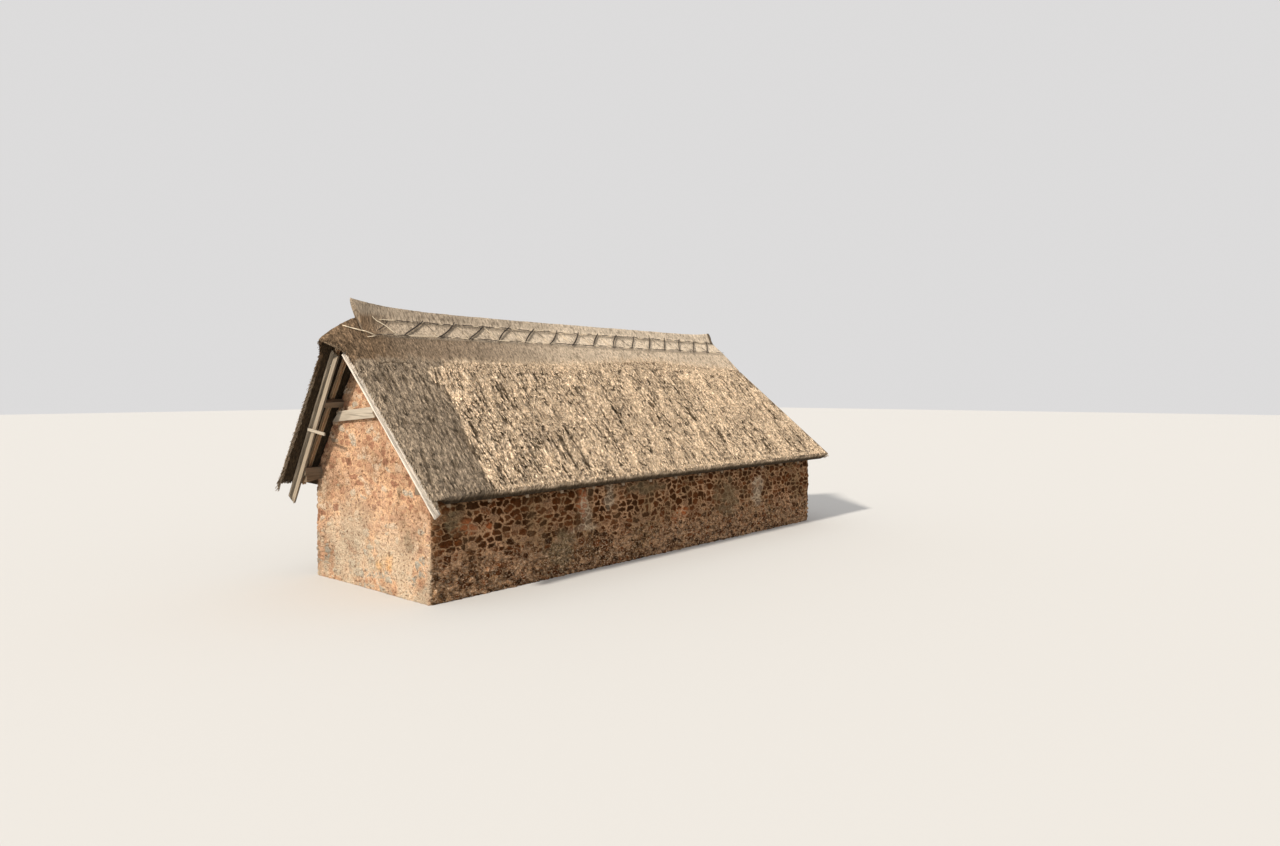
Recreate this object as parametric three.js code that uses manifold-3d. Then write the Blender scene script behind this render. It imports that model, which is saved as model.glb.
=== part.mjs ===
// A long thatched barn of rubble stone: gabled at one end, hipped at the other.
// Millimetres. Inside the roof group +X runs along the ridge from the gable wall's outer face,
// Y = 0 is the middle of the walls, -Y is the front and Z = 0 is the ground.
import * as THREE from "three";
import { mergeVertices } from "three/addons/utils/BufferGeometryUtils.js";
import Module from "manifold-3d";

const wasm = await Module();
wasm.setup();

// Clearance between pieces that touch
const GAP = 0.3;

// Walls
const WALL_LENGTH = 13570;
const HALF_WIDTH = 2025;
const WALL_THICKNESS = 500;
const FRONT_WALL_HEIGHT = 2020;
const REAR_WALL_HEIGHT = 2150;
const END_WALL_HEIGHT = 2100;

// Doorway in the rear wall
const DOOR_START = 7200;
const DOOR_WIDTH = 1000;
const DOOR_HEIGHT = 1750;
const LINTEL_BEARING = 150;
const LINTEL_HEIGHT = 140;

// Roof planes: the outer face of the thatch
const RIDGE_Y = 250;
const RIDGE_Z = 5370;
const EAVE_Y = 2445;
const EAVE_Z = 1980;
const HIP_TOP_X = 11510;
const HIP_EAVE_X = 14020;
const RISE = RIDGE_Z - EAVE_Z;
const FRONT_PITCH = RISE / (RIDGE_Y + EAVE_Y);
const REAR_PITCH = RISE / (EAVE_Y - RIDGE_Y);
const HIP_PITCH = RISE / (HIP_EAVE_X - HIP_TOP_X);

// Depths measured straight down from the outer face of the thatch
const THATCH_DEPTH = 330;
const LATH_BOTTOM = 370;
const RAFTER_TOP = 345;
const RAFTER_BOTTOM = 440;
const GABLE_TOP = 445;

// The newer coat of straw over the old. It starts beyond the verge on a line of [distance from the middle, x],
// ends below the ridge cap's apron, and lies in lanes that run up the slope with a shallow groove between them.
const COAT = 30;
const COAT_EDGE = [[400, 500], [610, 720], [840, 1080], [1370, 1170], [2445, 1100]];
const COAT_EDGE_RAMP = 40;
const COAT_TOP_SHARE = 0.701;
const COAT_FADED_SHARE = 0.727;
const LANE_WIDTH = 600;
const FIRST_LANE_X = 1500;
const LANE_GROOVE = 14;

// Verge and hood at the gable
const HOOD_START_X = -100;
const NOSE_X = -915;
const HOOD_DROP = 450;
const HOOD_REACH = 550;
const VERGE_ROLL = 60;
const VERGE_ROLL_WIDTH = 200;
const VERGE_DEPTH = 110;
const FULL_DEPTH_X = 150;
const FRONT_VERGE_X = -175;
const FRONT_VERGE_LEAN = 0.2;
const REAR_VERGE_X = -660;

// Timbers
const PLATE_OUTER_Y = 1950;
const PLATE_INNER_Y = 1800;
const PURLIN_WIDTH = 130;
const PURLIN_DEPTH = 120;
const FRONT_PURLIN_Y = -900;
const REAR_PURLIN_Y = 1090;
const PURLIN_END_X = 11900;
const PRINCIPAL_DEPTH = 250;
const PRINCIPAL_WIDTH = 110;
const COLLAR_BOTTOM = 3000;
const COLLAR_HEIGHT = 130;
const TRUSS_X = [3400, 6600, 9800];
const RAFTER_WIDTH = 80;
const RAFTER_FIRST_X = 250;
const RAFTER_STEP = 950;
const RAFTER_COUNT = 14;
const RAFTER_FOOT_Y = 2250;
const LATH_WIDTH = 45;
const LATH_STEP = 480;
const HIP_MARGIN = 120;
const BOARD_TOP = 210;
const BOARD_BOTTOM = 480;
const BOARD_THICKNESS = 45;
const FRONT_BOARD_Y = [-2350, -110];
const REAR_BOARD_Y = [530, 2380];
const VERGE_RAFTER_TOP = 280;
const VERGE_RAFTER_WIDTH = 80;
const FRONT_VERGE_RAFTER_Y = [-2300, 100];
const REAR_VERGE_RAFTER_Y = [301, 2300];
const WALL_RAFTER_X = [-230, -150];
const WALL_RAFTER_Y = [301, 2200];
const RIDGE_BEAM_HALF_WIDTH = 50;
const RIDGE_BEAM_X = [-450, 11400];
const COLLAR_WIDTH = 90;
const LATH_FIRST_Y = 2050;
const HIP_RAFTER_Y = [-1050, -300, 500, 1250];
const HIP_RAFTER_WIDTH = 80;
const HIP_LATH_X = [11900, 12350, 12800, 13250];
const HIP_LATH_BOTTOM = 400;
const HIP_LATH_INSET = 30;
const DIAGONAL_TOP = 380;
const DIAGONAL_BOTTOM = 520;
const DIAGONAL_START = 150;

// Timbers on the gable: Y and Z corners of the collar, then the batten, the stub and the broken foot
const GABLE_COLLAR = [[-740, 3425], [1241, 3268], [1000, 3490], [-680, 3642]];
const GABLE_COLLAR_THICKNESS = 80;
const BATTEN_Y = [790, 1550];
const BATTEN_Z = [3015, 3075];
const BATTEN_RISE = 0.1;
const BATTEN_THICKNESS = 25;
const STUB_X = [-12, 250];
const STUB_Y = [1150, 1430];
const STUB_Z = [2850, 2920];
const BROKEN_FOOT_X = [-330, -GAP];
const BROKEN_FOOT_Y = [1825, 1925];
const BROKEN_FOOT_DEPTH = 150;
const BROKEN_FOOT_TAPER = 0.2;

// Ridge cap and the hazel rods that hold it
const CAP_DEPTH = 100;
const CAP_SHOULDER = 120;
const CAP_ROLL = 50;
const CREST_DROP = 45;
const NOTCH_X = 50;
const NOTCH_RISE = 70;
const RIDGE_TOP_Z = 5550;
const CAP_START_X = -100;
const CAP_LEFT_TIP_X = -260;
const CAP_RIGHT_TIP_X = 11580;
const HIP_APRON = 670;
const ROD_RADIUS = 13;
const UPPER_ROD = 140;
const LOWER_ROD = 370;
const UPPER_ROD_START = 350;
const LOWER_ROD_START = -80;
const SPAR_COUNT = 15;
const SPAR_FIRST_X = 733;
const SPAR_STEP = 840;
const SPAR_CLOSER = 7.5;
const SPAR_LEAN = 620;
const SPAR_LEAN_LOSS = 30;
const SPAR_LEAST_LEAN = 300;

// The finished part stands with its box centred on the origin
const CENTRE_X = (NOSE_X + HIP_EAVE_X) / 2;

// Outer face of the thatch on each slope, as if it ran on past the ridge and the hips
const frontRoof = (x, y) => RIDGE_Z - FRONT_PITCH * (RIDGE_Y - y);
const rearRoof = (x, y) => RIDGE_Z - REAR_PITCH * (y - RIDGE_Y);
const hipRoof = (x) => RIDGE_Z - HIP_PITCH * (x - HIP_TOP_X);
const below = (roof, depth) => (x, y) => roof(x, y) - depth;

// Where the hip lines run: the x at which a slope meets the hipped end
function hipLineX(y) {
  const pitch = y < RIDGE_Y ? FRONT_PITCH : REAR_PITCH;
  return HIP_TOP_X + (Math.abs(y - RIDGE_Y) * pitch) / HIP_PITCH;
}

// The y of the front or rear hip line at a given x
function hipLineY(x, side) {
  const pitch = side < 0 ? FRONT_PITCH : REAR_PITCH;
  return RIDGE_Y + (side * (x - HIP_TOP_X) * HIP_PITCH) / pitch;
}

// Outer face of the verge boards: both lean out towards the hood
const frontBoardX = (y) => -130 - 0.195 * (y + 2380);
const rearBoardX = (y) => -387 - 0.062 * (2410 - y);

// Where a plate or purlin whose outer edge is at y stops, against the back of the board
function boardBackX(y) {
  const face = y < 0 ? frontBoardX : rearBoardX;
  return face(y) + BOARD_THICKNESS + GAP;
}

// A closed mesh from points and faces, each face a list of point numbers seen anticlockwise
function polyhedron(points, faces) {
  const position = [];
  for (const face of faces) {
    for (let i = 1; i + 1 < face.length; i++) {
      const corners = [points[face[0]], points[face[i]], points[face[i + 1]]];
      if (triangleArea(corners) > 1) {
        position.push(...corners.flat());
      }
    }
  }
  const geometry = new THREE.BufferGeometry();
  geometry.setAttribute("position", new THREE.Float32BufferAttribute(position, 3));
  return geometry;
}

function triangleArea(corners) {
  const [a, b, c] = corners.map((corner) => new THREE.Vector3(...corner));
  return b.sub(a).cross(c.sub(a)).length() / 2;
}

// A prism with a flat bottom outline and top and bottom heights given as functions of x and y
function panel(plan, top, bottom) {
  const count = plan.length;
  const lower = plan.map(([x, y]) => [x, y, bottom(x, y)]);
  const upper = plan.map(([x, y]) => [x, y, top(x, y)]);
  const faces = [plan.map((_, i) => count - 1 - i), plan.map((_, i) => count + i)];
  for (let i = 0; i < count; i++) {
    const next = (i + 1) % count;
    faces.push([i, next, count + next, count + i]);
  }
  return polyhedron([...lower, ...upper], faces);
}

// Plan corners in anticlockwise order, whichever way they were given
function anticlockwise(plan) {
  let turn = 0;
  for (let i = 0; i < plan.length; i++) {
    const [ax, ay] = plan[i];
    const [bx, by] = plan[(i + 1) % plan.length];
    turn += ax * by - bx * ay;
  }
  return turn > 0 ? plan : [...plan].reverse();
}

const rectangle = (x0, x1, y0, y1) => anticlockwise([[x0, y0], [x1, y0], [x1, y1], [x0, y1]]);
const flat = (z) => () => z;

function block(x0, x1, y0, y1, z0, z1) {
  return panel(rectangle(x0, x1, y0, y1), flat(z1), flat(z0));
}

// A length of timber along X whose section is drawn in Y and Z
function alongX(section, x0, x1) {
  const outline = anticlockwise(section);
  const count = outline.length;
  const near = outline.map(([y, z]) => [x0, y, z]);
  const far = outline.map(([y, z]) => [x1, y, z]);
  const shape = new THREE.Shape(outline.map(([y, z]) => new THREE.Vector2(y, z)));
  const triangles = THREE.ShapeUtils.triangulateShape(shape.getPoints(), []);
  const faces = triangles.map(([a, b, c]) => [c, b, a]);
  faces.push(...triangles.map(([a, b, c]) => [count + a, count + b, count + c]));
  for (let i = 0; i < count; i++) {
    const next = (i + 1) % count;
    faces.push([i, next, count + next, count + i]);
  }
  return polyhedron([...near, ...far], faces);
}

// Joining and cutting closed meshes
function toSolid(geometry) {
  const bare = geometry.clone();
  bare.deleteAttribute("normal");
  bare.deleteAttribute("uv");
  const merged = mergeVertices(bare, 0.001);
  return new wasm.Manifold(new wasm.Mesh({
    numProp: 3,
    vertProperties: new Float32Array(merged.attributes.position.array),
    triVerts: new Uint32Array(merged.index.array),
  }));
}

function fromSolid(solid) {
  const mesh = solid.getMesh();
  const geometry = new THREE.BufferGeometry();
  geometry.setAttribute("position", new THREE.BufferAttribute(mesh.vertProperties, 3));
  geometry.setIndex(new THREE.BufferAttribute(mesh.triVerts, 1));
  return geometry;
}

function joined(geometries) {
  return fromSolid(geometries.map(toSolid).reduce((sum, solid) => sum.add(solid)));
}

function cut(geometry, tools) {
  return fromSolid(tools.map(toSolid).reduce((rest, tool) => rest.subtract(tool), toSolid(geometry)));
}

// A closed skin between two grids of points with the same rows and columns
function shell(top, bottom) {
  const rows = top.length;
  const columns = top[0].length;
  const points = [...top.flat(), ...bottom.flat()];
  const upper = (i, j) => i * columns + j;
  const lower = (i, j) => rows * columns + i * columns + j;
  const faces = [];
  for (let i = 0; i + 1 < rows; i++) {
    for (let j = 0; j + 1 < columns; j++) {
      faces.push([upper(i, j), upper(i, j + 1), upper(i + 1, j + 1), upper(i + 1, j)]);
      faces.push([lower(i + 1, j), lower(i + 1, j + 1), lower(i, j + 1), lower(i, j)]);
    }
  }
  for (let i = 0; i + 1 < rows; i++) {
    faces.push([upper(i + 1, 0), lower(i + 1, 0), lower(i, 0), upper(i, 0)]);
    faces.push([upper(i, columns - 1), lower(i, columns - 1), lower(i + 1, columns - 1),
      upper(i + 1, columns - 1)]);
  }
  for (let j = 0; j + 1 < columns; j++) {
    faces.push([upper(0, j), lower(0, j), lower(0, j + 1), upper(0, j + 1)]);
    faces.push([upper(rows - 1, j + 1), lower(rows - 1, j + 1), lower(rows - 1, j), upper(rows - 1, j)]);
  }
  return polyhedron(points, faces);
}

// Thatch edge at the verge: it sweeps out to the nose of the hood at the ridge
function vergeX(y) {
  const nearRidge = Math.max(0, 1 - Math.abs(y - RIDGE_Y) / HOOD_REACH);
  const plain = y < RIDGE_Y ? FRONT_VERGE_X - FRONT_VERGE_LEAN * (y + EAVE_Y) : REAR_VERGE_X;
  const atRidge = y < RIDGE_Y ? FRONT_VERGE_X - FRONT_VERGE_LEAN * (RIDGE_Y + EAVE_Y) : REAR_VERGE_X;
  return plain + (NOSE_X - atRidge) * nearRidge ** 2;
}

// How far the hood's back has come down from the straight ridge
function hoodDrop(x, y) {
  const along = Math.max(0, (HOOD_START_X - x) / (HOOD_START_X - NOSE_X));
  const across = Math.max(0, 1 - Math.abs(y - RIDGE_Y) / HOOD_REACH);
  return HOOD_DROP * along ** 1.3 * across ** 1.2;
}

// Where the newer coat starts beyond the verge
function coatEdgeX(y) {
  const away = Math.abs(y);
  if (away <= COAT_EDGE[0][0]) return COAT_EDGE[0][1];
  const next = COAT_EDGE.findIndex(([distance]) => distance >= away);
  const [nearer, nearerX] = COAT_EDGE[next - 1];
  const [further, furtherX] = COAT_EDGE[next];
  return nearerX + ((furtherX - nearerX) * (away - nearer)) / (further - nearer);
}

// How far the newer coat stands above the old straw on the row at a given share of the slope
const coatAt = (share) => (share <= COAT_TOP_SHARE ? COAT : 0);

// Top and underside of one long slope, in columns from the verge to the hip line. The rows round the coat's
// top end follow the ridge cap's apron.
function slopeColumns(y, underY, roof, coat, alongApron) {
  const edge = vergeX(y);
  const hood = Math.max(0, 1 - Math.abs(y - RIDGE_Y) / HOOD_REACH);
  const top = [];
  const under = [];
  for (const share of [0, 0.1, 0.22, 0.42, 0.7, 1]) {
    const x = edge + (FULL_DEPTH_X - edge) * share;
    const roll = VERGE_ROLL * Math.max(0, 1 - (x - edge) / VERGE_ROLL_WIDTH) ** 2;
    const drop = hoodDrop(x, y);
    const slimmer = 1 - 0.6 * hood * (1 - share);
    const depth = (VERGE_DEPTH + (THATCH_DEPTH - VERGE_DEPTH) * share) * slimmer;
    top.push([x, y, roof(x, y) - drop - roll * slimmer]);
    under.push([x, underY, roof(x, underY) - drop - depth]);
  }
  const hipX = hipLineX(y) - GAP;
  const underHipX = hipLineX(underY) - GAP;
  const groove = coat > 0 ? LANE_GROOVE : 0;
  const columns = [[coatEdgeX(y), 0], [coatEdgeX(y) + COAT_EDGE_RAMP, coat]];
  for (let x = FIRST_LANE_X; x < HIP_EAVE_X; x += LANE_WIDTH) {
    columns.push([x, coat - groove], [x + LANE_WIDTH / 2, coat]);
  }
  columns.push([HIP_EAVE_X, coat]);
  for (const [x, raise] of columns) {
    const inside = x < hipX;
    const topX = Math.min(x, hipX);
    const topY = inside && alongApron ? y + apronRise(x) : y;
    const underX = Math.min(x, underHipX);
    top.push([topX, topY, roof(topX, topY) + (inside ? raise : coat)]);
    under.push([underX, underY, roof(underX, underY) - THATCH_DEPTH]);
  }
  return { top, under };
}

// Distance by which the cut under the eave runs back from the outer edge
function eaveCut(pitch) {
  return (THATCH_DEPTH * pitch) / (1 + pitch * pitch);
}

function longSlope(side) {
  const roof = side < 0 ? frontRoof : rearRoof;
  const pitch = side < 0 ? FRONT_PITCH : REAR_PITCH;
  const eave = side * EAVE_Y;
  const ridge = RIDGE_Y + side * GAP;
  const rows = [];
  for (const share of [0, 0.25, 0.5, COAT_TOP_SHARE, COAT_FADED_SHARE, 0.82, 0.9, 0.96, 1]) {
    const y = eave + (ridge - eave) * share;
    const underY = share === 0 ? y - side * eaveCut(pitch) : y;
    const alongApron = side < 0 && (share === COAT_TOP_SHARE || share === COAT_FADED_SHARE);
    rows.push(slopeColumns(y, underY, roof, coatAt(share), alongApron));
  }
  const ordered = side < 0 ? rows.reverse() : rows;
  const top = ordered.map((row) => row.top.reverse());
  const under = ordered.map((row) => row.under.reverse());
  return shell(top, under);
}

// The hipped end: rows from the eave up to the end of the ridge
function hipEnd() {
  const top = [];
  const under = [];
  for (const share of [0, 0.25, 0.5, COAT_TOP_SHARE, COAT_FADED_SHARE, 1]) {
    const x = HIP_EAVE_X + (HIP_TOP_X + 2 * GAP - HIP_EAVE_X) * share;
    const underX = share === 0 ? x - eaveCut(HIP_PITCH) : x;
    const topRow = [];
    const underRow = [];
    for (const across of [0, 0.25, 0.5, 0.75, 1]) {
      const y = hipLineY(x, -1) + GAP + (hipLineY(x, 1) - hipLineY(x, -1) - 2 * GAP) * across;
      const underY = hipLineY(underX, -1) + GAP
        + (hipLineY(underX, 1) - hipLineY(underX, -1) - 2 * GAP) * across;
      topRow.push([x, y, hipRoof(x) + coatAt(share)]);
      underRow.push([underX, underY, hipRoof(underX) - THATCH_DEPTH]);
    }
    top.push(topRow);
    under.push(underRow);
  }
  return shell(top, under);
}

// Crest of the ridge cap: level, with a tip that sweeps up at each end
function crestZ(x) {
  const left = 190 * Math.exp((CAP_LEFT_TIP_X - x) / 900);
  const right = 74 * Math.exp((x - CAP_RIGHT_TIP_X) / 450);
  return RIDGE_TOP_Z + left + right;
}

// How far down the front slope the cap's apron reaches, in plan: less along a rise in the middle
const apronRise = (x) => 150 * Math.exp(-(((x - 8000) / 2300) ** 2));
const frontApron = (x) => 720 - apronRise(x);
const rearApron = (HIP_APRON * HIP_PITCH) / REAR_PITCH;

function capColumn(x, apron, tipX) {
  const top = [];
  const under = [];
  const offsets = [-apron, -CAP_SHOULDER, -CAP_ROLL, 0, CAP_ROLL, CAP_SHOULDER, rearApron];
  for (const offset of offsets) {
    const y = RIDGE_Y + offset;
    const roof = offset < 0 ? frontRoof(x, y) : rearRoof(x, y);
    const height = { 0: crestZ(tipX), [CAP_ROLL]: crestZ(tipX) - CREST_DROP }[Math.abs(offset)];
    const lean = Math.abs(offset) <= CAP_ROLL ? tipX - x : 0;
    top.push([x + lean, y, height ?? roof + CAP_DEPTH]);
    under.push([x, y, roof + GAP]);
  }
  return { top, under };
}

// The cap's last columns: along the hip lines, back under the tip, and its lower edge on the hip
function capHipColumns() {
  const frontEdge = (HIP_APRON * HIP_PITCH) / FRONT_PITCH;
  const offsets = [-frontEdge, -CAP_SHOULDER, -CAP_ROLL, 0, CAP_ROLL, CAP_SHOULDER, rearApron];
  const mitre = { top: [], under: [] };
  const notch = { top: [], under: [] };
  const edge = { top: [], under: [] };
  const edgeX = HIP_TOP_X + HIP_APRON;
  for (const offset of offsets) {
    const y = RIDGE_Y + offset;
    const x = hipLineX(y);
    const crest = Math.abs(offset) <= CAP_ROLL;
    const drop = Math.abs(offset) === CAP_ROLL ? CREST_DROP : 0;
    const onSlope = [x, y, hipRoof(x) + CAP_DEPTH];
    mitre.top.push(crest ? [CAP_RIGHT_TIP_X, y, crestZ(CAP_RIGHT_TIP_X) - drop] : onSlope);
    notch.top.push(crest ? [HIP_TOP_X + NOTCH_X, y, RIDGE_Z + NOTCH_RISE - drop / 2] : onSlope);
    edge.top.push([edgeX, y, hipRoof(edgeX) + CAP_DEPTH]);
    mitre.under.push([x, y, hipRoof(x) + GAP]);
    notch.under.push([x, y, hipRoof(x) + GAP]);
    edge.under.push([edgeX, y, hipRoof(edgeX) + GAP]);
  }
  return [mitre, notch, edge];
}

function ridgeCap() {
  const columns = [capColumn(CAP_START_X, frontApron(CAP_START_X), CAP_LEFT_TIP_X)];
  for (const x of [200, 700, 1500, 3000, 5000, 6500, 8000, 9500, 10400, 11000]) {
    columns.push(capColumn(x, frontApron(x), x));
  }
  columns.push(...capHipColumns());
  return shell(columns.map((column) => column.top).reverse(), columns.map((column) => column.under).reverse());
}

// A round rod lying on the cap between two places, each an x and a distance down from the ridge
function rodOnCap(from, to, side) {
  const pitch = side < 0 ? FRONT_PITCH : REAR_PITCH;
  const normal = new THREE.Vector3(0, side * pitch, 1).normalize();
  const place = ([x, distance]) => new THREE.Vector3(
    x,
    RIDGE_Y + side * distance,
    RIDGE_Z - pitch * distance + CAP_DEPTH,
  ).addScaledVector(normal, ROD_RADIUS + GAP);
  const start = place(from);
  const end = place(to);
  const rod = new THREE.CylinderGeometry(ROD_RADIUS, ROD_RADIUS, start.distanceTo(end), 6);
  const turn = new THREE.Quaternion().setFromUnitVectors(
    new THREE.Vector3(0, 1, 0),
    end.clone().sub(start).normalize(),
  );
  rod.applyQuaternion(turn);
  rod.translate(...start.add(end).multiplyScalar(0.5).toArray());
  return rod;
}

// Two long rods with rods that slant between them, closer together towards the hipped end
function ridgeRods(side) {
  const hipSlant = (side < 0 ? FRONT_PITCH : REAR_PITCH) / HIP_PITCH;
  const rods = [
    rodOnCap([UPPER_ROD_START, UPPER_ROD], [HIP_TOP_X + 40, UPPER_ROD], side),
    rodOnCap([LOWER_ROD_START, LOWER_ROD], [HIP_TOP_X + LOWER_ROD * hipSlant - 30, LOWER_ROD], side),
    rodOnCap([200, UPPER_ROD], [545, LOWER_ROD], side),
    rodOnCap([-60, LOWER_ROD], [545, UPPER_ROD], side),
  ];
  const footX = (i) => SPAR_FIRST_X + SPAR_STEP * i - SPAR_CLOSER * i * i;
  for (let i = 0; i < SPAR_COUNT; i++) {
    const foot = footX(i);
    const lean = Math.max(SPAR_LEAST_LEAN, SPAR_LEAN - SPAR_LEAN_LOSS * i);
    const nextFoot = footX(i + 1);
    rods.push(rodOnCap([foot, LOWER_ROD], [foot + lean, UPPER_ROD], side));
    if (i < SPAR_COUNT - 1) {
      rods.push(rodOnCap([foot + lean, UPPER_ROD], [nextFoot, LOWER_ROD], side));
    }
  }
  return joined(rods);
}

// A squared timber along X that lies on the slope, with its upper face under the rafters
function slopeBeam(side, y, x0, x1, grow = 0) {
  const roof = side < 0 ? frontRoof : rearRoof;
  const pitch = side < 0 ? FRONT_PITCH : REAR_PITCH;
  const up = new THREE.Vector2(-side, pitch).normalize();
  const inward = new THREE.Vector2(-side * pitch, -1).normalize();
  const first = new THREE.Vector2(y, roof(0, y) - RAFTER_BOTTOM - GAP);
  const low = first.clone().addScaledVector(up, -grow).addScaledVector(inward, -grow * 100);
  const width = PURLIN_WIDTH + 2 * grow;
  const depth = PURLIN_DEPTH + grow * 101;
  const section = [
    low,
    low.clone().addScaledVector(up, width),
    low.clone().addScaledVector(up, width).addScaledVector(inward, depth),
    low.clone().addScaledVector(inward, depth),
  ];
  return alongX(section.map((point) => [point.x, point.y]), x0, x1);
}

const vertical = (depth, pitch) => depth * Math.sqrt(1 + pitch * pitch);
const frontPrincipalTop = RAFTER_BOTTOM + vertical(PURLIN_DEPTH, FRONT_PITCH) + 3 * GAP;
const rearPrincipalTop = RAFTER_BOTTOM + vertical(PURLIN_DEPTH, REAR_PITCH) + 3 * GAP;

const ridgeBeamTop = rearRoof(0, RIDGE_Y + RIDGE_BEAM_HALF_WIDTH) - RAFTER_BOTTOM - GAP;
const ridgeBeamBottom = RIDGE_Z - frontPrincipalTop + GAP;
const frontPlateTop = frontRoof(0, -PLATE_OUTER_Y) - RAFTER_BOTTOM - GAP;
const rearPlateTop = rearRoof(0, PLATE_OUTER_Y) - RAFTER_BOTTOM - GAP;
const endPlateOuterX = WALL_LENGTH - HALF_WIDTH + PLATE_OUTER_Y;
const endPlateTop = hipRoof(endPlateOuterX) - RAFTER_BOTTOM - GAP;

function gableWall() {
  const edge = (roof, y) => [y, roof(0, y) - GABLE_TOP];
  const notch = RIDGE_BEAM_HALF_WIDTH + GAP;
  const outline = [
    [-HALF_WIDTH, 0],
    [HALF_WIDTH, 0],
    edge(rearRoof, HALF_WIDTH),
    edge(rearRoof, RIDGE_Y + notch),
    [RIDGE_Y + notch, ridgeBeamBottom - GAP],
    [RIDGE_Y - notch, ridgeBeamBottom - GAP],
    edge(frontRoof, RIDGE_Y - notch),
    edge(frontRoof, -HALF_WIDTH),
  ];
  const through = [-50, WALL_THICKNESS + 50];
  const inner = PLATE_INNER_Y - GAP;
  const outer = PLATE_OUTER_Y + GAP;
  return cut(alongX(outline, 0, WALL_THICKNESS), [
    block(...through, -outer, -inner, FRONT_WALL_HEIGHT, FRONT_WALL_HEIGHT + 500),
    block(...through, inner, outer, REAR_WALL_HEIGHT, REAR_WALL_HEIGHT + 500),
    slopeBeam(-1, FRONT_PURLIN_Y, ...through, 2 * GAP),
    slopeBeam(1, REAR_PURLIN_Y, ...through, 2 * GAP),
    block(-50, STUB_X[1] + GAP, STUB_Y[0] - GAP, STUB_Y[1] + GAP, STUB_Z[0] - GAP, STUB_Z[1] + GAP),
  ]);
}

function endWall() {
  const step = PLATE_INNER_Y - GAP;
  const outline = [
    [-HALF_WIDTH, 0],
    [HALF_WIDTH, 0],
    [HALF_WIDTH, REAR_WALL_HEIGHT],
    [step, REAR_WALL_HEIGHT],
    [step, END_WALL_HEIGHT],
    [-step, END_WALL_HEIGHT],
    [-step, FRONT_WALL_HEIGHT],
    [-HALF_WIDTH, FRONT_WALL_HEIGHT],
  ];
  return alongX(outline, WALL_LENGTH - WALL_THICKNESS, WALL_LENGTH);
}

// A piece of the rear wall, drawn in X and Z and as thick as the wall
function rearWallPiece(outline) {
  const turned = alongX(outline.map(([x, z]) => [x, z]), HALF_WIDTH - WALL_THICKNESS, HALF_WIDTH);
  const position = turned.attributes.position;
  for (let i = 0; i < position.count; i++) {
    const [depth, along] = [position.getX(i), position.getY(i)];
    position.setXY(i, along, depth);
  }
  flip(turned);
  return turned;
}

// Reverse the winding of a mesh that has been mirrored
function flip(geometry) {
  const array = geometry.attributes.position.array;
  for (let i = 0; i < array.length; i += 9) {
    const second = array.slice(i + 3, i + 6);
    array.set(array.slice(i + 6, i + 9), i + 3);
    array.set(second, i + 6);
  }
}

const innerStart = WALL_THICKNESS + GAP;
const innerEnd = WALL_LENGTH - WALL_THICKNESS - GAP;
const doorEnd = DOOR_START + DOOR_WIDTH;
const lintelStart = DOOR_START - LINTEL_BEARING;
const lintelEnd = doorEnd + LINTEL_BEARING;
const lintelTop = DOOR_HEIGHT + LINTEL_HEIGHT;

function rafterBar(side, x, y0, y1) {
  const roof = side < 0 ? frontRoof : rearRoof;
  const plan = rectangle(x - RAFTER_WIDTH / 2, x + RAFTER_WIDTH / 2, y0, y1);
  return panel(plan, below(roof, RAFTER_TOP), below(roof, RAFTER_BOTTOM));
}

// Common rafters of one slope, joined by the laths that lie across them
function slopeRafters(side) {
  const roof = side < 0 ? frontRoof : rearRoof;
  const bars = [];
  for (let i = 0; i < RAFTER_COUNT; i++) {
    const x = RAFTER_FIRST_X + RAFTER_STEP * i;
    const top = x < HIP_TOP_X ? RIDGE_Y + side * GAP : hipLineY(x + HIP_MARGIN, side);
    bars.push(rafterBar(side, x, side * RAFTER_FOOT_Y, top));
  }
  const laths = Math.floor(Math.abs(side * LATH_FIRST_Y - RIDGE_Y) / LATH_STEP) + 1;
  for (let i = 0; i < laths; i++) {
    const y = side * (LATH_FIRST_Y - LATH_STEP * i);
    const plan = rectangle(FULL_DEPTH_X + 10, hipLineX(y) - HIP_MARGIN, y, y - side * LATH_WIDTH);
    bars.push(panel(plan, below(roof, THATCH_DEPTH + GAP), below(roof, LATH_BOTTOM)));
  }
  return joined(bars);
}

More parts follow.
